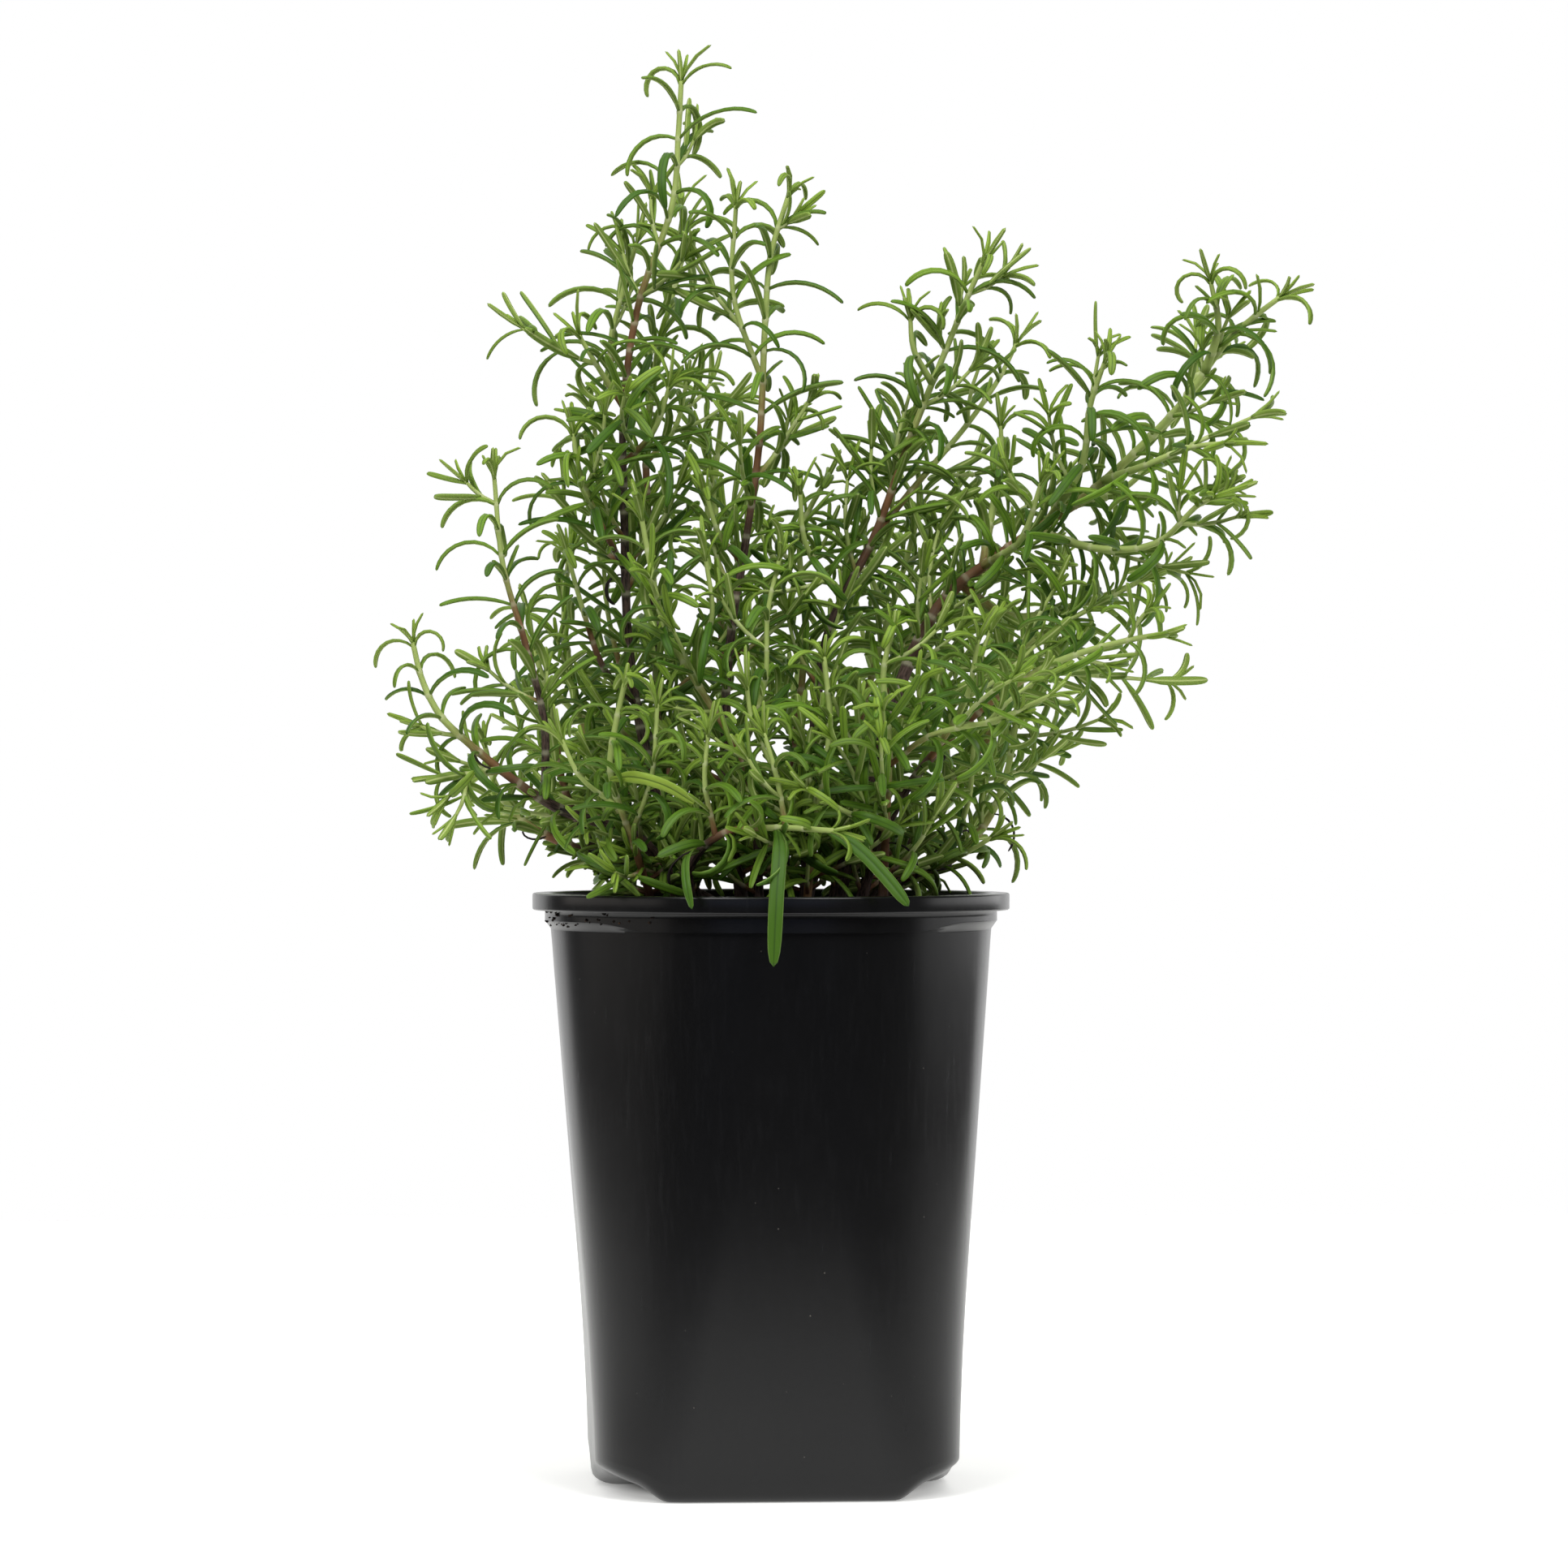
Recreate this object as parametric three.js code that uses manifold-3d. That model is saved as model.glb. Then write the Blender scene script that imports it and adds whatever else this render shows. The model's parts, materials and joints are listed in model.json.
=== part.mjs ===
// A rosemary plant in a black nursery pot.
// Millimetres, +Z up. The origin is at the centre of the pot's underside.

import * as THREE from 'three';
import { mergeVertices } from 'three/addons/utils/BufferGeometryUtils.js';
import Module from 'manifold-3d';

const wasm = await Module();
wasm.setup();

// Pot
const POT_HEIGHT = 204;
const RIM_RADIUS = 82.5;
const RIM_BAND = 5.8;
const RIM_EDGE = 0.6;
const COLLAR_RADIUS = 78.2;
const SHOULDER_HEIGHT = 2.8;
const MOUTH_RADIUS = 76.2;
const WALL = 1.8;
const FLOOR = 2;
const POT_SIDES = 24;
// Half the distance between opposite faces of the body, and its corner radius, by height
const BODY = [
  { z: 0, half: 62, corner: 29 },
  { z: 35, half: 63.1, corner: 35 },
  { z: 63, half: 64.9, corner: 41 },
  { z: 191.8, half: 76.2, corner: 72 },
];
// The foot's edge is rounded, more on the left and right faces than on the front and back
const FOOT_ROUNDING = 5;
const SIDE_ROUNDING = 9;
const FOOT_STEP = 1.5;
// The sole is a cross, and its front and back arms are wider than its side arms. The corners between
// them are lifted: steeply beyond the wide arms and gently beyond the narrow ones. Each slope is rows
// of a distance and the share of the lift there.
const FOOT_HALF = 40;
const SIDE_FOOT_HALF = 3;
const CORNER_LIFT = 8.5;
const STEEP_SLOPE = [[0, 0], [8, 0.62], [20, 1]];
const GENTLE_SLOPE = [[0, 0], [19, 0.71], [38, 1]];
const DRAIN_RADIUS = 5.5;
const DRAIN_CENTRE = 45;
const DRAIN_SIDES = 12;
// How far a cutting shape runs past what it cuts
const OVERCUT = 1;

// Potting mix
// The gap between the root ball and the pot's wall, and the wider one over the lifted corners
const FIT = 0.35;
const CORNER_FIT = 0.5;
const SOIL_EDGE = 190;
const SOIL_CROWN = 193;
const SOIL_RELIEF = 1.1;
const SOIL_RINGS = [0.82, 0.58, 0.34, 0.12];
// The soil's lumps: waves per millimetre across and along, and where each wave starts
const LUMPS = { x: 0.19, y: 0.23, startX: 1, startY: -0.5 };
const LUMP_FADE = 6;
const HOLE_FIT = 0.45;

// Leaves
const NEEDLE_WIDTH = 3;
const NEEDLE_DEPTH = 1.2;
const LONE_ROOT_SHARE = 0.5;
const LEAF_TURN = 0.5;
const OLD_LEAN = 0.85;
const YOUNG_LEAN = 0.35;
const LEAN_SPREAD = 0.7;
// How far a leaf turns along its length, and how much more near the tip of a stem or of a shoot
const CURL = [-0.4, 1.8];
const CURL_POWER = 1.3;
const HOOK = 1.8;
const SHOOT_HOOK = 0.2;
const HOOK_STRETCH = 110;
const LEAF_SIZES = [0.78, 1.18];
const YOUNG_STRETCH = 18;
const YOUNG_LEAF_SHARE = 0.7;
const STRAIGHT_LEAF = 15;
const FULL_CURL = 1.75;
// Of each run of so many leaf pairs, counted from the tip, this many are kept
const PAIR_CYCLE = 6;
const PAIRS_KEPT = 2;

// Stems and side shoots
const TIP_RADIUS = 0.9;
const TAPER = 0.8;
const BRANCH_TIP_RADIUS = 0.75;
const BRANCH_SHARE = 0.55;
const SHOOT_RADIUS = 0.85;
const SHOOT_TIP_RADIUS = 0.6;
const SIDE_SHOOT = [14, 46];
const SIDE_SHOOT_SHARE = 0.17;
const SIDE_SHOOT_LEAN = 0.95;
const SIDE_SHOOT_SPREAD = 0.4;
const SIDE_SHOOT_BEND = -0.5;
const SHOOT_PAIRS = 8;
const SHOOT_LEAF_SHARE = 0.82;
const SHORTEST_SHOOT = 18;
const SHOOTS_IN_ALL = 30;
const TIP_SETBACK = 0.8;
const JOINT_GAP = 0.3;
const WOOD_SIDES = 5;
const NODE_BAND = 2.2;
const BUD = 1.5;
const LEAST_BAND = 0.1;
const TUBE_STEP = 20;
const SAMPLES = 6;
const SHOOT_STEPS = 3;

// Room kept between the pieces of different stems, and how nearly level two stretches may be to be
// taken as such
const CLEARANCE = 0.4;
const LEVEL = 1e-9;
const ROOT_ZONE = 5;
const CELL = 12;
const WIDEST = 4;
const MOUTH_ROOM = 4;
const SOIL_ROOM = 3;
const RIM_ROOM = 2.5;

// What each draw of chance decides, and how the seeds of stems, branches and shoots are told apart
const DRAW = {
  turn: 3, leafLength: 5, leafLean: 7, leafCurl: 9, shoot: 11, shootLength: 13, shootLean: 15, leafTurn: 17,
  order: 31,
};
const SEED = { stem: 1000, branch: 100, shoot: 31, side: 17 };
const HASH = { index: 12.9898, kind: 78.233, scale: 43758.5453 };
const QUARTER = Math.PI / 2;

// The stems are measured facing the pot from the front left, and turned to the pot's own faces
const PLANT_TURN = THREE.MathUtils.degToRad(-4);

// Each stem: a path from its foot in the soil to its tip [right, back, up], the length of bare wood,
// the radius at the foot, the length of its middle leaves, the spacing of its leaf pairs, and its
// own branches, each a path that starts on the stem.
const STEMS = [
  { name: 'a', bare: 50, radius: 2.2, leaf: 31, pairs: 9.5,
    path: [[-24, 4, 178], [-25, 4, 198], [-40, 7, 240], [-49, 10, 284], [-51, 8, 332], [-51, 4, 372],
      [-46, 0, 407], [-34, -4, 442], [-32, -4, 466], [-31, -4, 484]],
    branches: [[[-49, 4, 374], [-60, -4, 386], [-66, -6, 396]],
      [[-51, 4, 374], [-56, 10, 392], [-52, 14, 412], [-47, 16, 430]],
      [[-51, 6, 352], [-40, -8, 364], [-35, -13, 378]],
      [[-50, 9, 318], [-60, -6, 334], [-66, -12, 350], [-68, -12, 362]],
      [[-46, 9, 266], [-58, 0, 282], [-65, -4, 302], [-70, -6, 320]]] },
  { name: 'b', bare: 48, radius: 2, leaf: 28, pairs: 9.5,
    path: [[-28, 24, 178], [-29, 25, 198], [-38, 30, 250], [-42, 35, 318], [-44, 40, 362],
      [-38, 44, 402], [-31, 46, 432], [-32, 46, 446]],
    branches: [[[-42, 36, 330], [-58, 44, 350], [-64, 48, 374]],
      [[-43, 39, 352], [-34, 49, 368], [-30, 53, 384]],
      [[-38, 30, 250], [-50, 30, 274], [-57, 28, 300], [-59, 28, 322]]] },
  { name: 'c', bare: 44, radius: 2, leaf: 27, pairs: 10.5,
    path: [[-10, -8, 178], [-10, -8, 198], [-16, -6, 246], [-14, -5, 292], [-9, -5, 323], [-4, -8, 359],
      [-2, -10, 400], [0, -10, 424], [6, -10, 444]],
    branches: [[[-3, -9, 380], [-13, -14, 410], [-12, -16, 440]],
      [[-5, -7, 348], [3, -2, 358], [6, 0, 368]], [[-10, -5, 318], [-18, -14, 328], [-22, -18, 340]]] },
  { name: 'd', bare: 46, radius: 1.8, leaf: 26, pairs: 10,
    path: [[4, 20, 178], [4, 20, 198], [8, 24, 250], [12, 25, 296], [10, 26, 326], [13, 27, 337],
      [18, 27, 346]],
    branches: [[[12, 25, 306], [-2, 34, 326], [-6, 38, 342]]] },
  { name: 'e', bare: 46, radius: 2.4, leaf: 29, pairs: 10.5,
    path: [[12, 2, 178], [12, 2, 198], [14, 4, 246], [20, 5, 294], [36, 5, 328], [50, 1, 366],
      [61, -2, 393], [68, -5, 410], [73, -6, 421]],
    branches: [[[37, 5, 330], [54, 16, 350], [69, 24, 368], [80, 28, 384], [86, 30, 396]],
      [[24, 5, 304], [12, -12, 324], [10, -16, 342]], [[56, 0, 382], [49, -8, 392], [48, -10, 402]]] },
  { name: 'h', bare: 74, radius: 3.2, leaf: 28, pairs: 9,
    path: [[22, -12, 178], [22, -12, 198], [36, -6, 250], [58, 0, 303], [82, 0, 323], [110, -4, 342],
      [140, -12, 371], [157, -18, 394], [166, -21, 402], [174, -22, 408]],
    branches: [[[98, -2, 334], [107, -18, 352], [109, -25, 370], [114, -30, 386]],
      [[132, -10, 362], [142, 4, 372], [147, 10, 382], [155, 16, 390]],
      [[148, -14, 382], [153, -25, 398], [150, -30, 413]],
      [[114, -5, 346], [127, -28, 350], [143, -38, 356], [153, -44, 357]],
      [[92, -1, 330], [114, -22, 322], [132, -32, 324], [146, -40, 337], [154, -42, 340]],
      [[72, 0, 315], [86, -26, 326], [92, -34, 344]],
      [[72, 0, 315], [76, 8, 332], [80, 12, 352], [80, 12, 366]],
      [[104, -3, 338], [122, 18, 344], [136, 26, 356]],
      [[66, 0, 310], [84, 14, 300], [112, 18, 306], [138, 14, 316]]] },
  { name: 'j', bare: 52, radius: 2.2, leaf: 26, pairs: 10,
    path: [[30, -22, 178], [30, -22, 198], [44, -26, 236], [66, -28, 262], [89, -34, 279],
      [102, -40, 285], [120, -50, 290], [131, -54, 292]],
    branches: [[[74, -30, 268], [86, -14, 288], [110, -10, 302], [128, -12, 312]],
      [[56, -27, 250], [66, -44, 270], [70, -52, 290]],
      [[92, -35, 281], [100, -22, 280], [104, -14, 287]]] },
  { name: 'u', bare: 42, radius: 1.9, leaf: 27, pairs: 11,
    path: [[38, -36, 178], [38, -36, 198], [39, -42, 226], [40, -47, 258], [38, -52, 279],
      [41, -54, 293]],
    branches: [[[40, -45, 246], [54, -60, 258], [75, -70, 263], [93, -77, 271]],
      [[39, -42, 226], [22, -66, 234], [12, -76, 240]]] },
  { name: 'l', bare: 74, radius: 2.8, leaf: 26, pairs: 8.5,
    path: [[-30, -12, 178], [-30, -12, 198], [-44, -20, 222], [-72, -32, 233], [-86, -38, 242],
      [-103, -44, 256], [-112, -46, 265], [-118, -46, 277], [-121, -46, 289]],
    branches: [[[-76, -33, 236], [-77, -36, 262], [-83, -38, 288], [-91, -38, 316], [-94, -37, 346]],
      [[-92, -40, 247], [-102, -50, 244], [-108, -54, 238]]] },
  { name: 'k', bare: 60, radius: 3, leaf: 24, pairs: 9.5,
    path: [[-16, 14, 178], [-17, 14, 196], [-34, 18, 207], [-66, 26, 218], [-88, 34, 229],
      [-97, 38, 241], [-101, 40, 255]],
    branches: [[[-60, 25, 216], [-72, 14, 240], [-76, 10, 266], [-82, 8, 288]],
      [[-84, 32, 227], [-96, 52, 232], [-102, 60, 244]]] },
  { name: 'n', bare: 44, radius: 2.4, leaf: 25, pairs: 9.5,
    path: [[34, 8, 178], [34, 8, 196], [45, 10, 208], [64, 16, 216], [77, 24, 231], [83, 28, 247],
      [86, 32, 262]],
    branches: [[[45, 10, 208], [62, -2, 215], [76, -8, 223]],
      [[58, 14, 213], [68, 2, 234], [70, -4, 256]]] },
  { name: 'q', bare: 46, radius: 1.9, leaf: 27, pairs: 10,
    path: [[-26, -38, 178], [-26, -38, 196], [-27, -54, 214], [-16, -66, 225], [2, -72, 227],
      [21, -76, 226]],
    branches: [[[-17, -65, 224], [-22, -68, 242], [-21, -68, 258]],
      [[6, -73, 227], [2, -74, 244], [-2, -74, 258]]] },
  { name: 'p', bare: 42, radius: 1.6, leaf: 25, pairs: 9.5,
    path: [[-40, -26, 178], [-40, -26, 196], [-46, -46, 220], [-54, -56, 246], [-52, -60, 262],
      [-49, -62, 275]],
    branches: [[[-47, -48, 224], [-40, -60, 244], [-38, -62, 268]],
      [[-50, -52, 234], [-64, -58, 244], [-70, -60, 256]]] },
  { name: 't', bare: 42, radius: 1.8, leaf: 27, pairs: 10,
    path: [[-4, -28, 178], [-4, -28, 198], [-8, -29, 246], [-24, -28, 274], [-36, -28, 295],
      [-41, -30, 316], [-44, -32, 332]],
    branches: [[[-10, -29, 254], [-2, -40, 276], [-1, -42, 300], [3, -42, 318]],
      [[-28, -28, 281], [-20, -40, 298], [-22, -44, 318]]] },
  { name: 'v', bare: 34, radius: 1.6, leaf: 26, pairs: 10,
    path: [[12, -38, 178], [12, -38, 198], [16, -46, 232], [20, -50, 262], [18, -52, 284]],
    branches: [[[14, -42, 216], [4, -56, 240], [-6, -62, 262], [-8, -63, 274]]] },
  { name: 's', bare: 44, radius: 1.8, leaf: 26, pairs: 10,
    path: [[22, 20, 178], [22, 20, 198], [28, 24, 250], [40, 26, 296], [48, 30, 322], [52, 34, 338]],
    branches: [[[34, 25, 274], [52, 38, 292], [66, 44, 316]],
      [[42, 26, 302], [34, 36, 318], [33, 39, 330]]] },
  { name: 'back_a', bare: 52, radius: 2.2, leaf: 27, pairs: 12.5,
    path: [[-10, 34, 178], [-10, 34, 198], [-14, 50, 244], [-18, 64, 300], [-20, 70, 350],
      [-18, 72, 372]],
    branches: [[[-15, 54, 258], [-34, 66, 282], [-44, 72, 308]],
      [[-17, 60, 284], [0, 76, 306], [8, 82, 328]]] },
  { name: 'back_b', bare: 52, radius: 2.2, leaf: 27, pairs: 12.5,
    path: [[12, 38, 178], [12, 38, 198], [28, 58, 242], [48, 76, 290], [60, 84, 332], [66, 88, 346]],
    branches: [[[34, 64, 257], [56, 66, 272], [76, 70, 296]],
      [[42, 71, 276], [34, 92, 292], [30, 100, 312]]] },
  { name: 'back_c', bare: 52, radius: 2.2, leaf: 26, pairs: 12.5,
    path: [[-34, 38, 178], [-34, 38, 198], [-54, 54, 232], [-69, 62, 270], [-74, 66, 302],
      [-72, 70, 326]],
    branches: [[[-59, 57, 243], [-54, 76, 262], [-50, 86, 284]],
      [[-67, 61, 266], [-82, 54, 282], [-86, 50, 302]]] },
  { name: 'back_d', bare: 52, radius: 2.2, leaf: 26, pairs: 12.5,
    path: [[34, 30, 178], [34, 30, 198], [58, 46, 232], [84, 58, 270], [98, 64, 308], [104, 66, 322]],
    branches: [[[66, 50, 244], [80, 40, 254], [92, 38, 270]],
      [[78, 56, 262], [80, 76, 280], [84, 84, 300]]] },
  { name: 'back_e', bare: 46, radius: 2, leaf: 26, pairs: 12.5,
    path: [[0, 50, 178], [0, 50, 196], [4, 74, 220], [8, 96, 244], [8, 106, 272], [10, 108, 286]],
    branches: [[[5, 80, 227], [26, 92, 240], [38, 98, 258]],
      [[6, 86, 233], [-12, 98, 250], [-18, 104, 270]]] },
  { name: 'back_f', bare: 46, radius: 2, leaf: 26, pairs: 12.5,
    path: [[-22, 48, 178], [-22, 48, 196], [-40, 72, 216], [-56, 90, 236], [-62, 98, 258],
      [-62, 100, 270]],
    branches: [[[-44, 76, 221], [-62, 70, 232], [-80, 74, 248]]] },
];

// Single large leaves that hang or reach out by themselves: the stem, then a path root to tip
const LONE_LEAVES = [
  { stem: 'q', width: 5, path: [[2, -71, 227], [3, -82, 220], [2, -88, 204], [1, -89, 181]] },
  { stem: 'q', width: 4.6, path: [[19, -75, 226], [28, -80, 221], [38, -83, 211], [46, -84, 201]] },
  { stem: 'q', width: 3.2, path: [[-24, -60, 219], [-28, -76, 217], [-28, -85, 209], [-26, -86, 200]] },
];

// A repeatable number from 0 to 1 for a pair of whole numbers
function chance(index, kind) {
  const wave = Math.sin(index * HASH.index + kind * HASH.kind) * HASH.scale;
  return wave - Math.floor(wave);
}

function mix(low, high, share) {
  return low + (high - low) * share;
}

// A closed mesh as a solid that can be joined and cut
function solidOf(geometry) {
  const bare = geometry.clone();
  bare.deleteAttribute('normal');
  bare.deleteAttribute('uv');
  const merged = mergeVertices(bare, 1e-4);
  return new wasm.Manifold(new wasm.Mesh({
    numProp: 3,
    vertProperties: new Float32Array(merged.attributes.position.array),
    triVerts: new Uint32Array(merged.index.array),
  }));
}

// The outer skin of the largest body: small hollows sealed between leaves are filled
function geometryOf(solid) {
  const largest = solid.decompose().reduce((best, body) => (body.volume() > best.volume() ? body : best));
  const mesh = largest.getMesh();
  const geometry = new THREE.BufferGeometry();
  geometry.setAttribute('position', new THREE.BufferAttribute(mesh.vertProperties, 3));
  geometry.setIndex(new THREE.BufferAttribute(mesh.triVerts, 1));
  return geometry;
}

// A closed skin over rings of points, each ring with the same count, from the first to the last.
// Where a tip is given, the skin runs to that point, and otherwise it ends flat.
function skin(rings, tip) {
  const count = rings[0].length;
  const points = [...rings.flat(), ...(tip ? [tip] : [])];
  const index = [];
  for (let row = 0; row + 1 < rings.length; row += 1) {
    for (let side = 0; side < count; side += 1) index.push(...facet(row, side, count));
  }
  closeEnds(index, rings.length, count, tip);
  return meshOf(points, index);
}

// The two triangles of a ring's side, facing out where the rings run counter-clockwise
function facet(row, side, count) {
  const [a, b, c, d] = corners(row, side, count);
  return [a, b, c, a, c, d];
}

function corners(row, side, count) {
  const a = row * count + side;
  const b = row * count + (side + 1) % count;
  return [a, b, b + count, a + count];
}

function closeEnds(index, rows, count, tip) {
  const last = (rows - 1) * count;
  for (let side = 1; side + 1 < count; side += 1) {
    index.push(0, side + 1, side);
    if (!tip) index.push(last, last + side, last + side + 1);
  }
  if (!tip) return;
  for (let side = 0; side < count; side += 1) {
    index.push(last + side, last + (side + 1) % count, rows * count);
  }
}

function meshOf(points, index) {
  const geometry = new THREE.BufferGeometry();
  const places = points.flatMap((point) => point.toArray());
  geometry.setAttribute('position', new THREE.Float32BufferAttribute(places, 3));
  geometry.setIndex(index);
  return geometry;
}

// Distance from the axis to a rounded square's edge, at an angle
function roundedSquare(angle, half, corner) {
  const turned = angle - QUARTER * Math.floor(angle / QUARTER);
  const folded = Math.min(turned, QUARTER - turned);
  const inner = half - corner;
  if (half * Math.tan(folded) <= inner) return half / Math.cos(folded);
  const reach = Math.cos(folded) + Math.sin(folded);
  return inner * reach + Math.sqrt(corner ** 2 - inner ** 2 * (1 - Math.sin(2 * folded)));
}

// The body's half size and corner radius at a height, read off between the rows of BODY
function bodyAt(z) {
  const upper = Math.max(1, BODY.findIndex((row) => row.z >= z));
  const [low, high] = [BODY[upper - 1], BODY[upper]];
  const share = (z - low.z) / (high.z - low.z);
  return { half: mix(low.half, high.half, share), corner: mix(low.corner, high.corner, share) };
}

function bodyRing(z, inset, { rounding = 0, scale = 1, rise = () => 0 } = {}) {
  const { half, corner } = bodyAt(z);
  return Array.from({ length: POT_SIDES }, (_, side) => {
    const angle = side / POT_SIDES * 2 * Math.PI;
    const wider = mix(1, SIDE_ROUNDING / FOOT_ROUNDING, Math.cos(angle) ** 2);
    const reach = (roundedSquare(angle, half - inset, corner - inset) - rounding * wider) * scale;
    const point = new THREE.Vector3(reach * Math.cos(angle), reach * Math.sin(angle), z);
    point.z += rise(point);
    return point;
  });
}

function roundRing(z, radius) {
  return Array.from({ length: POT_SIDES }, (_, side) => {
    const angle = side / POT_SIDES * 2 * Math.PI;
    return new THREE.Vector3(radius * Math.cos(angle), radius * Math.sin(angle), z);
  });
}

// The room under one lifted corner, grown by a wall's thickness where it shapes the inside: rings from
// the wide arm outwards, each round the slope that rises from the narrow arm
function cornerRoom(grow, base) {
  const floor = -2 * OVERCUT;
  const gentle = [[-OVERCUT, 0], ...GENTLE_SLOPE, [RIM_RADIUS, 1]];
  const near = SIDE_FOOT_HALF - grow;
  return skin([[-OVERCUT, 0], ...STEEP_SLOPE, [RIM_RADIUS, 1]].map(([across, steep]) => {
    const x = across + FOOT_HALF - grow;
    const slope = gentle.map(([along, share]) => new THREE.Vector3(
      x, near + along, base + (across < 0 || along < 0 ? -OVERCUT : CORNER_LIFT * steep * share)));
    return [
      new THREE.Vector3(x, near - OVERCUT, floor), new THREE.Vector3(x, near + RIM_RADIUS, floor),
      ...slope.reverse(),
    ];
  }));
}

function atEachCorner(geometry) {
  const solid = solidOf(geometry);
  const back = [solid, solid.mirror([1, 0, 0])];
  return [...back, ...back.map((one) => one.mirror([0, 1, 0]))];
}

function cutAll(solid, cutters) {
  return cutters.reduce((rest, cutter) => rest.subtract(cutter), solid);
}

function makePot() {
  const shoulder = BODY.at(-1).z;
  const collarFoot = shoulder + SHOULDER_HEIGHT;
  const rimFoot = POT_HEIGHT - RIM_BAND;
  const outside = skin([
    bodyRing(0, 0, { rounding: FOOT_ROUNDING }), bodyRing(FOOT_STEP, 0, { rounding: FOOT_STEP }),
    bodyRing(FOOT_ROUNDING, 0), bodyRing(BODY[1].z, 0), bodyRing(BODY[2].z, 0), bodyRing(shoulder, 0),
    roundRing(collarFoot, COLLAR_RADIUS), roundRing(rimFoot, COLLAR_RADIUS),
    roundRing(rimFoot, RIM_RADIUS - RIM_EDGE), roundRing(rimFoot + RIM_EDGE, RIM_RADIUS),
    roundRing(POT_HEIGHT - RIM_EDGE, RIM_RADIUS), roundRing(POT_HEIGHT, RIM_RADIUS - RIM_EDGE),
  ]);
  const inside = skin([
    bodyRing(FLOOR, WALL, { rounding: FOOT_ROUNDING }), bodyRing(FOOT_ROUNDING + FLOOR, WALL),
    bodyRing(BODY[1].z, WALL), bodyRing(BODY[2].z, WALL), bodyRing(shoulder, WALL),
    roundRing(rimFoot, MOUTH_RADIUS), roundRing(POT_HEIGHT + OVERCUT, MOUTH_RADIUS),
  ]);
  const hollow = cutAll(solidOf(inside), atEachCorner(cornerRoom(WALL, FLOOR)));
  const drain = new THREE.CylinderGeometry(DRAIN_RADIUS, DRAIN_RADIUS, CORNER_LIFT * 3, DRAIN_SIDES);
  drain.rotateX(QUARTER).translate(DRAIN_CENTRE, DRAIN_CENTRE, CORNER_LIFT);
  const shell = cutAll(solidOf(outside), atEachCorner(cornerRoom(0, 0)));
  return cutAll(shell.subtract(hollow), atEachCorner(drain));
}

// Low mounds on the soil
function soilRise(point) {
  const away = Math.hypot(point.x, point.y) / MOUTH_RADIUS;
  const mound = (SOIL_CROWN - SOIL_EDGE) * Math.max(0, 1 - away ** 2);
  const lumps = Math.sin(point.x * LUMPS.x + LUMPS.startX) * Math.cos(point.y * LUMPS.y + LUMPS.startY);
  return mound + SOIL_RELIEF * lumps * (1 - away ** LUMP_FADE);
}

function makeSoil() {
  const inset = WALL + FIT;
  const body = skin([
    bodyRing(FLOOR + FIT, inset, { rounding: FOOT_ROUNDING }), bodyRing(FOOT_ROUNDING + FLOOR, inset),
    bodyRing(BODY[1].z, inset), bodyRing(BODY[2].z, inset), bodyRing(SOIL_EDGE, inset),
    ...SOIL_RINGS.map((scale) => bodyRing(SOIL_EDGE, inset, { scale, rise: soilRise })),
  ]);
  const raised = cornerRoom(WALL + CORNER_FIT, FLOOR + FIT);
  const turn = THREE.MathUtils.radToDeg(PLANT_TURN);
  const holes = plants.map(({ axes: [main] }) => (
    woodTube(main, HOLE_FIT).rotate([0, 0, turn])));
  return cutAll(cutAll(solidOf(body), atEachCorner(raised)), holes);
}

// A smooth line through a few points, with its length measured along it
function makeLine(points) {
  const curve = new THREE.CatmullRomCurve3(points, false, 'centripetal');
  const places = curve.getPoints((points.length - 1) * SAMPLES);
  const lengths = [0];
  for (let i = 1; i < places.length; i += 1) {
    lengths.push(lengths[i - 1] + places[i].distanceTo(places[i - 1]));
  }
  return { places, lengths, total: lengths.at(-1) };
}

// The place and the forward direction at a distance along a line
function alongLine(line, distance) {
  const { places, lengths } = line;
  let i = 1;
  while (i < places.length - 1 && lengths[i] < distance) i += 1;
  const share = (distance - lengths[i - 1]) / (lengths[i] - lengths[i - 1]);
  return {
    place: places[i - 1].clone().lerp(places[i], share),
    ahead: places[i].clone().sub(places[i - 1]).normalize(),
  };
}

// The direction that points out sideways from a stem, at an angle round it
function outward(ahead, angle) {
  const across = new THREE.Vector3(0, 1, 0).cross(ahead).normalize();
  const third = ahead.clone().cross(across);
  return across.multiplyScalar(Math.cos(angle)).addScaledVector(third, Math.sin(angle));
}

// A curve that starts at an angle to its stem and bends further from it along its length
function bentCurve(root, ahead, out, length, lean, curl, steps) {
  const place = root.clone();
  const curve = [place.clone()];
  for (let i = 0; i < steps; i += 1) {
    const angle = lean + curl * (i + 0.5) / steps;
    place.addScaledVector(ahead, Math.cos(angle) * length / steps);
    place.addScaledVector(out, Math.sin(angle) * length / steps);
    curve.push(place.clone());
  }
  return curve;
}

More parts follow.
